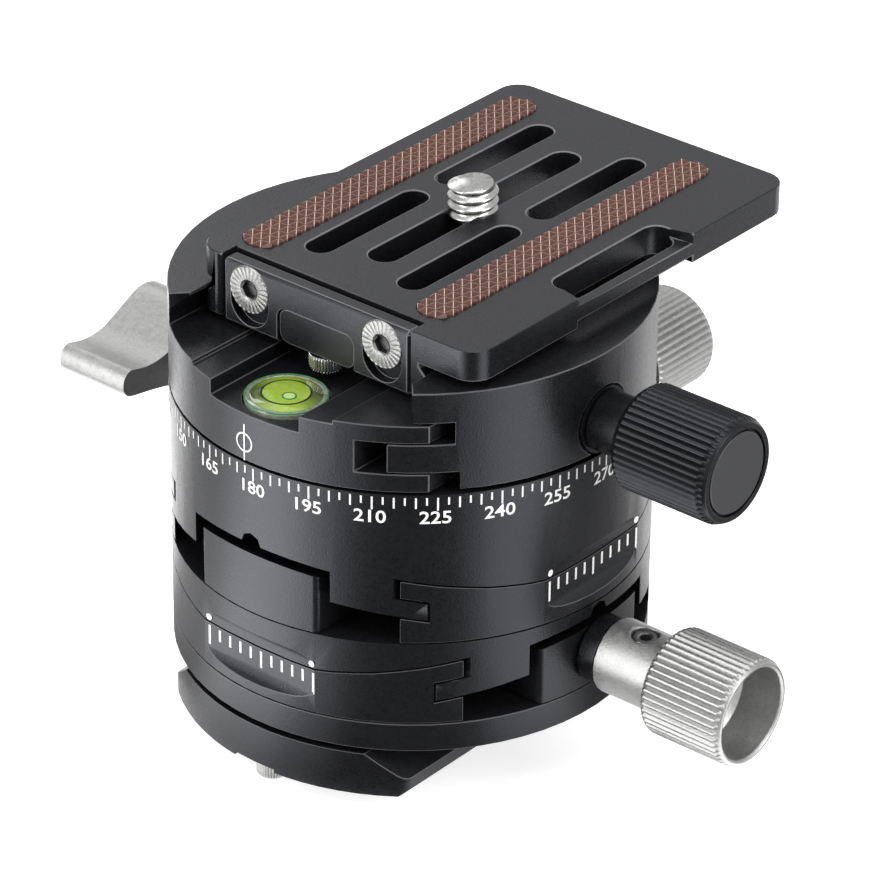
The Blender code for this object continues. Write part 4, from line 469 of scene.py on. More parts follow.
def welded(node):
    """A node's solid as a clean bmesh: doubles merged and flat faces made whole."""
    bm = bmesh.new()
    bm.from_mesh(frame["nodes"][node].data)
    bmesh.ops.remove_doubles(bm, verts=bm.verts, dist=WELD)
    bmesh.ops.dissolve_limit(bm, angle_limit=FLAT_WITHIN, use_dissolve_boundaries=False,
                             verts=bm.verts, edges=bm.edges)
    return bm


# %% Softening edges
def edge_mask(bm):
    """The layer that the finishes read: 1 on a bevelled edge, where a highlight is painted. It is
    made before its faces.
    """
    return bm.faces.layers.float.get("edge") or bm.faces.layers.float.new("edge")


def mark_edges(bm, faces):
    layer = edge_mask(bm)
    for face in faces:
        if face.is_valid:
            face[layer] = 1.0


def has_room(edge, width):
    """Whether the edges that cross an edge's ends are long enough for a bevel's width."""
    for vert in edge.verts:
        way = (edge.other_vert(vert).co - vert.co).normalized()
        for other in vert.link_edges:
            run = other.other_vert(vert).co - vert.co
            if abs(way.dot(run.normalized())) < 0.8 and run.length < 2.5 * width:
                return False
    return True


def soften(bm, width, over_deg=28.0, rounds=2, clamped=True, spared=()):
    """Bevels the edges that turn by more than an angle and have room for the bevel."""
    edge_mask(bm)
    sharp = [edge for edge in bm.edges
             if len(edge.link_faces) == 2 and edge.calc_face_angle(0) > math.radians(over_deg)
             and has_room(edge, width)
             and not any((vert.co - spot).length < reach
                         for spot, reach in spared for vert in edge.verts)]
    made = bmesh.ops.bevel(bm, geom=sharp, offset=width, offset_type="OFFSET", affect="EDGES",
                           segments=rounds, profile=0.5, material=-1, clamp_overlap=clamped)
    # Marks the bevel faces for the painted highlight.
    mark_edges(bm, made["faces"])


def dressed(node, material, width, rounds=2, clamped=True, spared=()):
    bm = welded(node)
    soften(bm, width, rounds=rounds, clamped=clamped, spared=spared)
    piece = new_piece(node + "_shape", bm, material, node_body[node], [node])
    return piece


# %% Every machined black piece
plain_edges = {
    "foot_plate": 0.00016, "base_disc": 0.00012, "lower_rail_front": 0.00012,
    "lower_rail_back": 0.00012, "lower_worm_housing": 0.00016, "lower_carriage": 0.00012,
    "upper_rail_right": 0.00012, "upper_rail_left": 0.00012, "upper_worm_housing": 0.00016,
    "pan_base": 0.00012, "platform": 0.00015, "moving_jaw": 0.00015, "camera_plate": 0.00017,
    "anti_twist_lip": 0.00009, "lever_collar": 0.0001}
# The camera plate and the lip take black_plate, whose painted edge highlight is brighter.
bright_edges = ("camera_plate", "anti_twist_lip")
SPARED_REACH = 0.0025
screw_tops = []
for node in ("lip_screw_left", "lip_screw_right"):
    low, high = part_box(node)
    spot = Vector(((low[0] + high[0]) / 2, low[1], high[2] + 0.0004))
    screw_tops.append((spot, SPARED_REACH))
for node, width in plain_edges.items():
    if node in bright_edges:
        kept_sharp = screw_tops if node == "anti_twist_lip" else ()
        piece = dressed(node, black_plate, width, rounds=3, clamped=False, spared=kept_sharp)
    else:
        piece = dressed(node, black, width)
    print(node, len(piece.data.polygons))

# %% [markdown]
# ## Turned and fluted knobs
# A knob comes off a lathe as a plain turned shape, and a rolling tool presses straight
# flutes into its grip. The same two steps make it here: a profile is spun round an axis,
# and then the rim's points are drawn in along narrow valleys. The hub keeps the packed
# solid's own screw hole, so only the grip is new.

# %% Turning a profile
def lathe(points, steps, ring=False):
    """Spins (radius, height) points about Z into a closed shape."""
    bm = bmesh.new()
    line = [bm.verts.new((radius, 0, height)) for radius, height in points]
    edges = [bm.edges.new(pair) for pair in zip(line, line[1:])]
    if ring:
        edges.append(bm.edges.new((line[-1], line[0])))
    bmesh.ops.spin(bm, geom=line + edges, cent=(0, 0, 0), axis=(0, 0, 1), dvec=(0, 0, 0),
                   angle=2 * math.pi, steps=steps, use_merge=True)
    bmesh.ops.remove_doubles(bm, verts=bm.verts, dist=0.0000001)
    bmesh.ops.recalc_face_normals(bm, faces=bm.faces)
    return bm


def carve(bm, over_radius, rule):
    """Draws in every point outside a radius by what the rule says for its angle and height."""
    for vert in bm.verts:
        radius = math.hypot(vert.co.x, vert.co.y)
        if radius > over_radius:
            depth = rule(math.atan2(vert.co.y, vert.co.x), vert.co.z)
            vert.co.x *= (radius - depth) / radius
            vert.co.y *= (radius - depth) / radius


def valleys(count, depth, narrow):
    """Straight flutes: how deep the rim is drawn in at an angle."""
    return lambda angle, height: depth * (0.5 + 0.5 * math.cos(count * angle)) ** narrow


def soft_profile(points, radius, rounds=3):
    """Rounds the inner corners of a profile of (radius, height) points."""
    path = [Vector(point) for point in points]
    made = [path[0]]
    for before, here, after in zip(path, path[1:], path[2:]):
        reach = min(radius, (before - here).length * 0.45, (after - here).length * 0.45)
        start = here + (before - here).normalized() * reach
        end = here + (after - here).normalized() * reach
        for step in range(rounds + 1):
            share = step / rounds
            made.append(start * (1 - share) ** 2 + here * 2 * share * (1 - share)
                        + end * share ** 2)
    made.append(path[-1])
    return [tuple(point) for point in made]


def along(heading, height):
    """Lays a shape made about +Z along a compass heading at a height."""
    return (Matrix.Rotation(heading, 4, "Z") @ Matrix.Translation((0, 0, height))
            @ Matrix.Rotation(math.pi / 2, 4, "Y"))


def add_to(bm, other):
    """Adds another bmesh to this one."""
    part = bpy.data.meshes.new("part")
    other.to_mesh(part)
    other.free()
    bm.from_mesh(part)
    bpy.data.meshes.remove(part)


# %% The two silver knobs
SET_SCREW_AT = 0.0372
GRIP_START = 0.0416
GRIP_END = 0.05365
GRIP_RADIUS = 0.00695
GRIP_FLUTES = 46
GRIP_RIM = 0.00670
FLUTE_DEPTH = 0.00036
FLUTE_NARROW = 2.2
CUP_RADIUS = 0.00594
HOLE_REACH = 0.0019
HUB_SHOULDER = 0.0035
MOUTH_BEVEL = 0.0003
grip_profile = soft_profile([
    (0, GRIP_START), (0.0059, GRIP_START), (0.00672, GRIP_START + 0.0002),
    (GRIP_RADIUS, GRIP_START + 0.0006), (GRIP_RADIUS, GRIP_END - 0.0008),
    (0.00660, GRIP_END - 0.00022), (0.00645, GRIP_END), (CUP_RADIUS + 0.0002, GRIP_END),
    (CUP_RADIUS, GRIP_END - 0.0003), (CUP_RADIUS, GRIP_END - 0.0058),
    (0.0046, GRIP_END - 0.0070), (0, GRIP_END - 0.0070)], 0.00012)


def silver_knob(node, heading):
    """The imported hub, cut where the grip starts, with its screw hole's mouth and a new grip."""
    low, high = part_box(node)
    axis_height = (low[2] + high[2]) / 2
    bm = welded(node)
    face = Matrix.Rotation(heading, 4, "Z") @ Vector((GRIP_START - 0.00002, 0, 0))
    bmesh.ops.bisect_plane(bm, geom=bm.verts[:] + bm.edges[:] + bm.faces[:], plane_co=face,
                           plane_no=face.normalized(), clear_outer=True)
    rim = [edge for edge in bm.edges if edge.is_boundary]
    bmesh.ops.holes_fill(bm, edges=rim)
    hole = Matrix.Rotation(heading, 4, "Z") @ Vector((SET_SCREW_AT, 0, 0))
    mouth = [edge for edge in bm.edges if edge.calc_face_angle(0) > math.radians(40)
             and all((vert.co.xy - hole.xy).length < HOLE_REACH
                     and vert.co.z > axis_height + HUB_SHOULDER for vert in edge.verts)]
    edge_mask(bm)
    bmesh.ops.bevel(bm, geom=mouth, offset=MOUTH_BEVEL, offset_type="OFFSET", affect="EDGES",
                    segments=2, profile=0.5, material=-1, clamp_overlap=True)
    soften(bm, 0.00012, 40)
    grip = lathe(grip_profile, GRIP_FLUTES * 8)
    carve(grip, GRIP_RIM, valleys(GRIP_FLUTES, FLUTE_DEPTH, FLUTE_NARROW))
    bmesh.ops.transform(grip, matrix=along(heading, axis_height), verts=grip.verts)
    add_to(bm, grip)
    piece = new_piece(node + "_turned", bm, silver, node_body[node], [node])
    print(node, "axis", round(axis_height, 4), "faces", len(piece.data.polygons))


silver_knob("lower_knob", 0.0)
silver_knob("upper_knob", math.pi / 2)

# %% [markdown]
# The clamp knob is black and solid, with a disc set in its end. Its flutes are softer than
# the silver ones and each crest has a faint second groove, so its rule is the sum of two.

# %% The black clamp knob and its cap
CLAMP_START = 0.0356
CLAMP_END = 0.0498
CLAMP_FLUTES = 46
CLAMP_RIM = 0.00650
clamp_profile = soft_profile([
    (0, 0.0302), (0.00387, 0.0302), (0.00387, CLAMP_START - 0.0006), (0.0043, CLAMP_START),
    (0.0060, CLAMP_START), (0.00685, CLAMP_START + 0.0009), (0.00685, CLAMP_END - 0.0011),
    (0.00640, CLAMP_END - 0.0003), (0.00620, CLAMP_END), (0.00552, CLAMP_END),
    (0.00546, CLAMP_END - 0.00055), (0, CLAMP_END - 0.00055)], 0.0001)
clamp_low, clamp_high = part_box("clamp_knob")
clamp_height = (clamp_low[2] + clamp_high[2]) / 2
main_flutes = valleys(CLAMP_FLUTES, 0.00034, 1.1)
fine_flutes = valleys(2 * CLAMP_FLUTES, 0.00010, 2.0)
bm = lathe(clamp_profile, CLAMP_FLUTES * 10)
carve(bm, CLAMP_RIM, lambda angle, height:
      main_flutes(angle, height) + fine_flutes(angle + math.pi / CLAMP_FLUTES, height))
bmesh.ops.transform(bm, matrix=along(0.0, clamp_height), verts=bm.verts)
clamp_grip = new_piece("clamp_knob_turned", bm, black_knob, "clamp", ["clamp_knob"])
cap_profile = soft_profile([
    (0, CLAMP_END - 0.00054), (0.00518, CLAMP_END - 0.00054), (0.00518, CLAMP_END - 0.00012),
    (0.00502, CLAMP_END - 0.00003), (0, CLAMP_END - 0.00003)], 0.00008)
bm = lathe(cap_profile, 96)
bmesh.ops.transform(bm, matrix=along(0.0, clamp_height), verts=bm.verts)
cap = new_piece("clamp_knob_disc", bm, black_cap, "clamp", ["clamp_knob_cap"])
print("clamp knob", len(clamp_grip.data.polygons))

# %% [markdown]
# ## Threads and screw heads
# A thread is a groove that climbs one pitch for each turn. On a turned rod with many thin
# rings that is one more carving rule: the depth depends on the height less the angle. The
# stop screws are knurled the same way as the knobs, and the lip's two screws have a hexagon
# socket and a ring of coarse ridges.

# %% The camera screw's thread
PITCH = 0.00127
SCREW_Y = 0.0113
SCREW_LOW = 0.0600
SCREW_TOP = 0.0649
SCREW_RADIUS = 0.003175
THREAD_DEPTH = 0.00052
END_TALL = 0.0006
END_NARROWER = 0.00075
RINGS = 110
thread_profile = [(0, SCREW_LOW)]
for row in range(RINGS + 1):
    height = SCREW_LOW + (SCREW_TOP - SCREW_LOW) * row / RINGS
    ease = max(0.0, height - (SCREW_TOP - END_TALL)) / END_TALL
    thread_profile.append((SCREW_RADIUS - END_NARROWER * ease, height))
thread_profile.append((0, SCREW_TOP))


def thread(angle, height):
    """How deep the groove is: nought on the crest and full half a pitch on."""
    turn = (height / PITCH - angle / (2 * math.pi)) % 1.0
    return THREAD_DEPTH * (0.5 - 0.5 * math.cos(2 * math.pi * turn)) ** 0.8


bm = lathe(thread_profile, 120)
carve(bm, 0.00235, thread)
bmesh.ops.translate(bm, vec=(0, SCREW_Y, 0), verts=bm.verts)
solid = welded("camera_screw")
bmesh.ops.bisect_plane(solid, geom=solid.verts[:] + solid.edges[:] + solid.faces[:],
                       plane_co=(0, 0, SCREW_LOW + 0.0001), plane_no=(0, 0, 1),
                       clear_outer=True)
bmesh.ops.holes_fill(solid, edges=[edge for edge in solid.edges if edge.is_boundary])
add_to(bm, solid)
camera_thread = new_piece("camera_screw_thread", bm, steel, "screw", ["camera_screw"])

# %% The two knurled stop screws
STEM_RADIUS = 0.0010


def stop_screw(node, head_tall, knurls, edge):
    """A short knurled head under its own stem: the solid's box gives both."""
    low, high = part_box(node)
    middle = Vector(((low[0] + high[0]) / 2, (low[1] + high[1]) / 2, 0))
    radius = (high[0] - low[0]) / 2
    head = low[2] + head_tall
    profile = soft_profile([
        (0, low[2]), (radius - edge, low[2]), (radius, low[2] + edge), (radius, head - edge),
        (radius - edge, head), (STEM_RADIUS, head), (STEM_RADIUS, high[2]),
        (0, high[2])], 0.00008)
    bm = lathe(profile, knurls * 6)
    carve(bm, radius - edge * 0.5, valleys(knurls, 0.00016, 1.5))
    bmesh.ops.translate(bm, vec=middle, verts=bm.verts)
    piece = new_piece(node + "_knurled", bm, steel, node_body[node], [node])
    print(node, "radius", round(radius, 5), "head", round(low[2], 4), round(head, 4))


stop_screw("foot_stop_screw", 0.0025, 34, 0.00025)
stop_screw("plate_stop_screw", 0.0019, 36, 0.00020)

# %% [markdown]
# The small screws are turned too. The socket starts as a round hole, and its wall is then
# drawn in to six flats. The bottom of the hole gets the dark steel as painted shade, and
# the lip's screws get a ring of coarse ridges round their sockets.

# %% Screws with a hexagon socket
LIP_RIDGES = 24
SOCKET_DEEP = 0.0010
SIXTH = math.pi / 3


def socket_screw(node, radius, stem, socket, length, place, ridge=0.0, ridges=LIP_RIDGES):
    """A screw's head about +Z into the part, with a hexagon socket and faint radial ridges."""
    profile = soft_profile([
        (0, length), (stem, length), (stem, 0.00026), (radius, 0.00024), (radius, 0.00014),
        (radius - 0.00018, 0), ((radius + socket) * 0.62, 0), ((radius + socket) * 0.5, 0),
        (socket + 0.0002, 0), (socket, 0.00015), (socket, SOCKET_DEEP),
        (0, SOCKET_DEEP + 0.00005)], 0.00004, 2)
    bm = lathe(profile, ridges * 8)
    for vert in bm.verts:
        size = math.hypot(vert.co.x, vert.co.y)
        angle = math.atan2(vert.co.y, vert.co.x)
        if socket * 1.5 < size < radius - 0.0002 and vert.co.z < 0.0001:
            vert.co.z += ridge * (0.5 + 0.5 * math.cos(ridges * angle)) ** 2
        if 0.0005 < size < socket + 0.00003 and 0.0001 < vert.co.z < 0.00104:
            flat = math.cos(SIXTH / 2) / math.cos(angle % SIXTH - SIXTH / 2)
            vert.co.x *= flat
            vert.co.y *= flat
    # Painted shade: the socket's wall and bottom take the dark second material.
    for face in bm.faces:
        middle = face.calc_center_median()
        if math.hypot(middle.x, middle.y) < socket and 0.0001 < middle.z < 0.0011:
            face.material_index = 1
    bmesh.ops.transform(bm, matrix=place, verts=bm.verts)
    piece = new_piece(node + "_head", bm, screw_steel, node_body[node], [node])
    piece.data.materials.append(dark_steel)
    print(node, len(piece.data.polygons))


for node in ("lip_screw_left", "lip_screw_right"):
    low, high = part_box(node)
    spot = Vector(((low[0] + high[0]) / 2, low[1] - 0.00022, (low[2] + high[2]) / 2))
    socket_screw(node, 0.00318, 0.0027, 0.00118, 0.0012,
                 Matrix.Translation(spot) @ Matrix.Rotation(-math.pi / 2, 4, "X"),
                 ridge=0.00003)
for node in ("lower_knob_screw", "upper_knob_screw"):
    low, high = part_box(node)
    spot = Vector(((low[0] + high[0]) / 2, (low[1] + high[1]) / 2, high[2]))
    socket_screw(node, (high[0] - low[0]) / 2, 0.0015, 0.00078, high[2] - low[2],
                 Matrix.Translation(spot) @ Matrix.Rotation(math.pi, 4, "X"), ridges=12)

# %% [markdown]
# ## The bushes beside the silver knobs
# Each worm turns in a black bush whose round collar shows between the block and the knob.
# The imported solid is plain, so the same lathe turns it again as a closed ring with soft
# corners round the shaft's hole.

# %% The bushes
COLLAR_LENGTH = 0.00245
SHAFT_HOLE = 0.0014
BUSH_NECK = 0.0021
for node, heading in (("lower_worm_bush", 0.0), ("upper_worm_bush", math.pi / 2)):
    low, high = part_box(node)
    reach = (low[0], high[0]) if heading == 0.0 else (low[1], high[1])
    face = reach[1] - COLLAR_LENGTH
    collar = (high[2] - low[2]) / 2
    bm = lathe(soft_profile([
        (SHAFT_HOLE, reach[0]), (BUSH_NECK, reach[0]), (BUSH_NECK, face), (collar, face),
        (collar, reach[1]), (SHAFT_HOLE + 0.0001, reach[1]), (SHAFT_HOLE, reach[1])],
        0.0002), 96, ring=True)
    bmesh.ops.transform(bm, matrix=along(heading, (low[2] + high[2]) / 2), verts=bm.verts)
    bush = new_piece(node + "_turned", bm, black_knob, node_body[node], [node])
    print(node, "radius", round(collar, 5))

# %% [markdown]
# ## The pan lock's lever
# The lever is one curved outline cut through a silver bar: a round hub, a hollow for the
# thumb and a turned-up tip. A few marks, as shares of its reach and its hub, give the
# curve, a smooth spline runs through them, and one extrusion gives the bar its width.

# %% The lever
LEVER_HUB = 0.0048
LEVER_REACH = 0.0157
HUB_STEPS = 40
SPLINE_STEPS = 6
lever_marks = [
    (0.38, 0.49), (0.49, 0.33), (0.61, 0.26), (0.72, 0.26), (0.82, 0.32),
    (0.90, 0.38), (0.95, 0.33), (0.99, 0.18), (1.0, -0.06), (0.98, -0.22), (0.92, -0.37),
    (0.70, -0.50), (0.50, -0.63), (0.36, -0.78)]
lever_low, lever_high = (Vector(corner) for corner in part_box("pan_lever"))
lever_height = lever_high.z - LEVER_HUB
hub = [Vector((LEVER_HUB * math.cos(turn), LEVER_HUB * math.sin(turn))) for turn in
       (math.radians(165 * step / HUB_STEPS - 45) for step in range(HUB_STEPS + 1))]
marks = [Vector((-LEVER_REACH * along_share, LEVER_HUB * up_share))
         for along_share, up_share in lever_marks]
knots = [hub[-2], hub[-1], *marks, hub[0], hub[1]]
outline = list(hub)
for before, first, second, after in zip(knots, knots[1:], knots[2:], knots[3:]):
    for step in range(1, SPLINE_STEPS + 1):
        share = step / SPLINE_STEPS
        outline.append(0.5 * (2 * first + (second - before) * share
                              + (2 * before - 5 * first + 4 * second - after) * share ** 2
                              + (3 * first - before - 3 * second + after) * share ** 3))


def new_points(made):
    """The points among what an extrusion made."""
    return [item for item in made["geom"] if isinstance(item, bmesh.types.BMVert)]


bm = bmesh.new()
edge_mask(bm)
side = bm.faces.new([bm.verts.new((lever_low.x, spot.x, lever_height + spot.y))
                     for spot in outline[:-1]])
pushed = bmesh.ops.extrude_face_region(bm, geom=[side])
bmesh.ops.translate(bm, vec=(lever_high.x - lever_low.x, 0, 0), verts=new_points(pushed))
bmesh.ops.recalc_face_normals(bm, faces=bm.faces)
soften(bm, 0.0004, 50, 3)
lever = new_piece("pan_lever_shape", bm, silver, node_body["pan_lever"], ["pan_lever"], 40)
print("lever", len(lever.data.polygons), "hub's middle", round(lever_height, 5))

# %% [markdown]
# ## Rubber strips
# The two strips are moulded rubber with a field of small pyramids that grip the camera.
# A flat grid of oblong cells is poked, so each cell becomes a pyramid whose four ridges
# run to its corners, and planes trim the field to the strip's outline with round ends.
# The ridges are painted pale as a painted highlight, brightest on the side that each
# pyramid shows to the front.

# %% The pyramid field
STRIP_ALONG = 0.00165
STRIP_ACROSS = 0.00138
STRIP_PEAK = 0.00042
RIDGE_BEVEL = 0.000055
FAINT_RIDGE_HIGHLIGHT = 0.35
END_CUTS = 8


def pyramid_strip(node):
    low, high = (Vector(corner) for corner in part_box(node))
    middle = (low + high) / 2
    half = (high.x - low.x) / 2
    long_half = (high.y - low.y) / 2
    columns = 2 * int(half / STRIP_ACROSS + 1)
    rows = 2 * int(long_half / STRIP_ALONG + 1)
    base = high.z - STRIP_PEAK
    bm = bmesh.new()
    edge_mask(bm)
    bmesh.ops.create_grid(bm, x_segments=columns, y_segments=rows, size=0.5)
    bmesh.ops.scale(bm, vec=(columns * STRIP_ACROSS, rows * STRIP_ALONG, 1), verts=bm.verts)
    bmesh.ops.poke(bm, faces=bm.faces, offset=STRIP_PEAK)
    ridges = [edge for edge in bm.edges
              if abs(edge.verts[0].co.z - edge.verts[1].co.z) > STRIP_PEAK / 2]
    rounded = bmesh.ops.bevel(bm, geom=ridges, offset=RIDGE_BEVEL, offset_type="OFFSET",
                              affect="EDGES", segments=1, profile=0.5, material=-1,
                              clamp_overlap=True)
    # Painted highlight: ridges on the front side of each pyramid get the full pale colour, the
    # rest a faint share.
    layer = edge_mask(bm)
    for face in rounded["faces"]:
        place = face.calc_center_median()
        forward = (place.x / STRIP_ACROSS) % 1 > 0.5 > (place.y / STRIP_ALONG) % 1
        face[layer] = 1.0 if forward else FAINT_RIDGE_HIGHLIGHT
    planes = [((half, 0), (1, 0)), ((-half, 0), (-1, 0))]
    for end in (-1, 1):
        for step in range(END_CUTS + 1):
            turn = math.pi * step / END_CUTS
            out = (math.cos(turn), end * math.sin(turn))
            planes.append(((out[0] * half, end * (long_half - half) + out[1] * half), out))
    for (x, y), (out_x, out_y) in planes:
        bmesh.ops.bisect_plane(bm, geom=bm.verts[:] + bm.edges[:] + bm.faces[:],
                               plane_co=(x, y, 0), plane_no=(out_x, out_y, 0), clear_outer=True)
    rim = [edge for edge in bm.edges if edge.is_boundary]
    skirt = bmesh.ops.extrude_edge_only(bm, edges=rim)
    for vert in new_points(skirt):
        vert.co.z = low.z - base
    bmesh.ops.holes_fill(bm, edges=[edge for edge in bm.edges if edge.is_boundary])
    bmesh.ops.translate(bm, vec=(middle.x, middle.y, base), verts=bm.verts)
    bmesh.ops.recalc_face_normals(bm, faces=bm.faces)
    piece = new_piece(node + "_field", bm, rubber, node_body[node], [node], sharp_over=12)
    print(node, "faces", len(piece.data.polygons), "peak", round(high.z, 5))


pyramid_strip("rubber_strip_left")
pyramid_strip("rubber_strip_right")

# %% [markdown]
# ## The bubble level
# A small capsule of yellow-green liquid sits in a clear rim with a green edge. A ring is
# painted on its domed glass, and one bubble rests near the ring's centre, with a dark green
# ring round it as painted shade at its rim. All of it is turned. The liquid is painted
# darker near its wall on two sides, a painted shade for the view through more of it,
# with the same face value that carries the painted edge highlights.

# %% The level's glass, ring and bubble
LEVEL_SPOT = Vector((0.0004, -0.0238, 0))
LEVEL_SIDE = math.radians(50)
cup_low, cup_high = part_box("level_cup")
vial_low, vial_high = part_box("level_vial")
cup_radius = (cup_high[0] - cup_low[0]) / 2
LIQUID_RADIUS = 0.0044
CLEAR_WITHIN = 0.0030
dome = vial_high[2] - cup_high[2]


def dome_height(radius):
    """The height of the glass at a distance from its middle."""
    share = min(radius / LIQUID_RADIUS, 1.0)
    return cup_high[2] - 0.0001 + (dome + 0.0001) * math.sqrt(max(0.0, 1 - 0.92 * share ** 2))


def level_part(name, profile, material, stands_for, ring=False, spot=LEVEL_SPOT,
               dim=0.0):
    """A turned part of the level that pans with it, and how much painted shade darkens its sides.
    """
    bm = lathe(profile, 72, ring)
    # Painted shade: with dim set, faces outside the clear middle darken on two sides, turned by
    # LEVEL_SIDE.
    layer = edge_mask(bm)
    for face in bm.faces:
        middle = face.calc_center_median()
        if dim and math.hypot(middle.x, middle.y) > CLEAR_WITHIN:
            side = math.sin(math.atan2(middle.y, middle.x) + LEVEL_SIDE)
            face[layer] = dim * side ** 2
    bmesh.ops.translate(bm, vec=spot, verts=bm.verts)
    made = new_piece(name, bm, material, "pan", stands_for)


dome_profile = [(0, vial_low[2]), (LIQUID_RADIUS, vial_low[2])]
for step in range(13):
    size = LIQUID_RADIUS * math.cos(math.pi / 2 * step / 12)
    dome_profile.append((size, dome_height(size)))
level_part("level_liquid", dome_profile, liquid, ["level_vial"], dim=0.9)
rim_profile = soft_profile([
    (LIQUID_RADIUS, cup_low[2]), (cup_radius, cup_low[2]), (cup_radius, cup_high[2] - 0.0001),
    (cup_radius - 0.00015, cup_high[2]), (LIQUID_RADIUS + 0.0001, cup_high[2] + 0.0001),
    (LIQUID_RADIUS, cup_high[2]), (LIQUID_RADIUS, cup_low[2])], 0.00005)
level_part("level_rim", rim_profile[:-1], clear_rim, ["level_cup"], ring=True)


def painted_ring(name, inner, outer, lift, material, spot=LEVEL_SPOT):
    """A thin ring that lies just over the glass."""
    profile = [(inner, dome_height(inner) + lift), (outer, dome_height(outer) + lift),
               (outer, dome_height(outer) - lift), (inner, dome_height(inner) - lift)]
    level_part(name, profile, material, (), ring=True, spot=spot)


painted_ring("level_ring", 0.00290, 0.00312, 0.00003, black_ink)

# %% The rim's edge and the bubble
level_part("level_edge", [(cup_radius - 0.00022, cup_high[2] - 0.0001),
                          (cup_radius - 0.00004, cup_high[2] - 0.00006),
                          (cup_radius - 0.00008, cup_high[2] + 0.00006),
                          (cup_radius - 0.00020, cup_high[2] + 0.00006)],
           green_glass_and_bubble_shade, (), ring=True)
bubble_spot = LEVEL_SPOT + Vector((0.0010, -0.0006, 0))
bubble_top = dome_height(0.0012) + 0.00003
level_part("level_bubble", [(0, bubble_top - 0.0002), (0.00075, bubble_top - 0.0002),
                            (0.00070, bubble_top + 0.00001), (0, bubble_top + 0.00005)],
           pale_bubble, (), spot=bubble_spot)
# The dark green ring round the bubble is painted shade at its rim.
level_part("level_bubble_edge", [(0.00070, bubble_top - 0.0002), (0.00096, bubble_top - 0.0002),
                                 (0.00090, bubble_top + 0.00002), (0.00074, bubble_top + 0.00004)],
           green_glass_and_bubble_shade, (), ring=True, spot=bubble_spot)
print("rim radius", round(cup_radius, 5), "dome", round(dome, 5), "top", round(vial_high[2], 5))

# %% [markdown]
# ## Printed scales
# The head turns and tilts by numbers: a panorama scale runs round the block in degrees,
# and each tilting stage has a short scale on a flat, with a dot over each end. They are
# white ink, a few hundredths of a millimetre thick. Every tick is one thin box laid on the
# wall, and the numerals are Blender's own plain type, wrapped round the cylinder.

# %% Ink helpers
INK = 0.00003
INK_LIFT = 0.00001
TICK_WIDE = 0.00022
DIGIT_SHARE = 0.729
TYPE_FATTER = 0.00003


def ink_bar(bm, place, wide, tall):
    """A thin bar: place puts X outward, Y along the wall and Z up."""
    size = Matrix.Diagonal((INK, wide, tall, 1))
    bmesh.ops.create_cube(bm, size=1, matrix=place @ size)


def on_drum(angle, radius, height):
    return (Matrix.Rotation(angle, 4, "Z")
            @ Matrix.Translation((radius + INK_LIFT, 0, height)))


def numeral(text, tall):
    """Plain type as a thin closed mesh: X to the right, Y up, centred."""
    curve = bpy.data.curves.new("numeral", "FONT")
    curve.body = text
    curve.size = tall / DIGIT_SHARE
    curve.align_x = "CENTER"
    curve.extrude = INK / 2
    curve.resolution_u = 3
    curve.offset = TYPE_FATTER
    holder = bpy.data.objects.new("numeral", curve)
    scene.collection.objects.link(holder)
    bpy.context.view_layer.update()
    mesh = bpy.data.meshes.new_from_object(holder)
    bpy.data.objects.remove(holder)
    bpy.data.curves.remove(curve)
    bm = bmesh.new()
    bm.from_mesh(mesh)
    bpy.data.meshes.remove(mesh)
    bmesh.ops.translate(bm, vec=(0, -tall / 2, 0), verts=bm.verts)
    return bm


# %% The panorama scale
DRUM = 0.0300
SCALE_TOP = 0.04225
SCALE_TURN = math.radians(-268.96)
DIGIT_TALL = 0.00172
DIGIT_WIDE = 1.13
DIGIT_MIDDLE = 0.03963
DIGIT_SHIFT = -0.00025
bm = bmesh.new()
for count in range(144):
    degrees = 2.5 * count
    tall = 0.00173 if degrees % 15 == 0 else 0.00145 if degrees % 5 == 0 else 0.0010
    angle = math.radians(degrees) + SCALE_TURN
    ink_bar(bm, on_drum(angle, DRUM, SCALE_TOP - tall / 2), TICK_WIDE, tall)
for degrees in range(0, 360, 15):
    digits = numeral(str(degrees), DIGIT_TALL)
    middle = math.radians(degrees) + SCALE_TURN
    for vert in digits.verts:
        angle = middle + (vert.co.x * DIGIT_WIDE + DIGIT_SHIFT) / DRUM
        radius = DRUM + INK_LIFT + vert.co.z
        vert.co = (radius * math.cos(angle), radius * math.sin(angle), DIGIT_MIDDLE + vert.co.y)
    add_to(bm, digits)
pan_scale = new_piece("pan_scale", bm, white_ink, "upper_tilt")
print("panorama scale", len(pan_scale.data.polygons))

# %% The index on the turning block
INDEX_TURN = math.radians(-91.6)
INDEX_HEIGHT = 0.0454
INDEX_TALL = 0.00489
INDEX_RING = (0.00109, 0.00131)
bm = bmesh.new()
ink_bar(bm, on_drum(INDEX_TURN, DRUM, INDEX_HEIGHT), TICK_WIDE, INDEX_TALL)
inner, outer = INDEX_RING
ring = lathe([(inner, 0), (outer, 0), (outer, INK), (inner, INK)], 48, ring=True)
lay = on_drum(INDEX_TURN, DRUM, INDEX_HEIGHT) @ Matrix.Rotation(math.pi / 2, 4, "Y")
bmesh.ops.transform(ring, matrix=lay, verts=ring.verts)
for vert in ring.verts:
    side = math.atan2(vert.co.y, vert.co.x)
    ahead = math.hypot(vert.co.x, vert.co.y) * math.cos(side - INDEX_TURN)
    out = max(DRUM + INK_LIFT, ahead)
    vert.co.x, vert.co.y = out * math.cos(side), out * math.sin(side)
add_to(bm, ring)
index_mark = new_piece("index_mark", bm, white_ink, "pan")
print("index", len(index_mark.data.polygons))

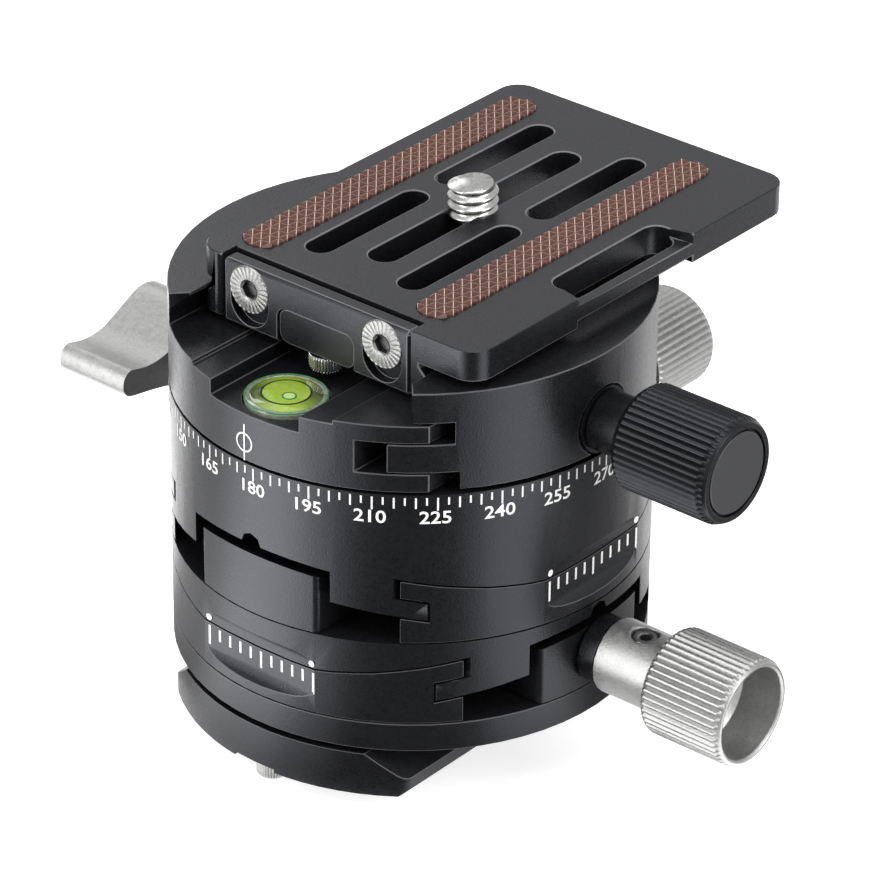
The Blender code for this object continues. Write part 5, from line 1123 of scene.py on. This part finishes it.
# %% The two tilt scales
FLAT = 0.02865
TICK_STEP = 0.00169
GAP_RADIUS = 0.096125
GAP_CLEAR = 0.00035
SCALE_OFF = 0.0003
TILT_TICK_WIDE = 0.00034
DOT_RADIUS = 0.00044
DOT_LIFT = 0.00008
DOT_SPREAD = 0.00835


def tilt_scale(name, heading, centre, fixed, moving):
    """Ticks under the gap on one stage's flat, and two dots over it."""
    turned = Matrix.Rotation(heading, 4, "Z")
    bars = bmesh.new()
    for count in range(-5, 6):
        off = count * TICK_STEP
        top = centre - math.sqrt(GAP_RADIUS ** 2 - off ** 2) - GAP_CLEAR
        tall = 0.0030 if count % 5 == 0 else 0.00165
        place = turned @ Matrix.Translation((FLAT + INK_LIFT, off + SCALE_OFF, top - tall / 2))
        ink_bar(bars, place, TILT_TICK_WIDE, tall)
    made = new_piece(name + "_ticks", bars, white_ink, fixed)
    dots = bmesh.new()
    for side in (-1, 1):
        off = side * DOT_SPREAD + 0.0002
        height = centre - math.sqrt(GAP_RADIUS ** 2 - off ** 2) + 0.0009
        dot = lathe([(0, 0), (DOT_RADIUS, 0), (DOT_RADIUS, INK), (0, INK)], 24)
        place = (turned @ Matrix.Translation((FLAT + DOT_LIFT, off, height))
                 @ Matrix.Rotation(math.pi / 2, 4, "Y"))
        bmesh.ops.transform(dot, matrix=place, verts=dot.verts)
        add_to(dots, dot)
    made = new_piece(name + "_dots", dots, white_ink, moving)
    print(name, "ticks 11, dots 2")


tilt_scale("lower_scale", -math.pi / 2, 0.1124, "base", "lower_tilt")
tilt_scale("upper_scale", 0.0, 0.1238079, "lower_tilt", "upper_tilt")

# %% [markdown]
# ## The remaining solids
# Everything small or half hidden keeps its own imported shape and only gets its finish.

# %% Finishes on the other solids
other_finishes = {
    "tripod_bushing": brass, "foot_screw_1": dark_steel, "foot_screw_2": dark_steel,
    "foot_screw_3": dark_steel, "foot_screw_4": dark_steel, "lower_worm": steel,
    "lower_gear_sector": brass, "upper_worm": steel, "upper_gear_sector": brass,
    "spindle_retainer": steel, "brake_shoe": polymer, "lever_stud": steel,
    "pan_spindle": steel, "clamp_spring": steel, "clamp_washer": black_knob, "clamp_rod": steel,
    "screw_clip": dark_steel}
for node, material in other_finishes.items():
    mesh = frame["nodes"][node].data
    mesh.materials.clear()
    mesh.materials.append(material)
print("plain solids:", len(other_finishes))
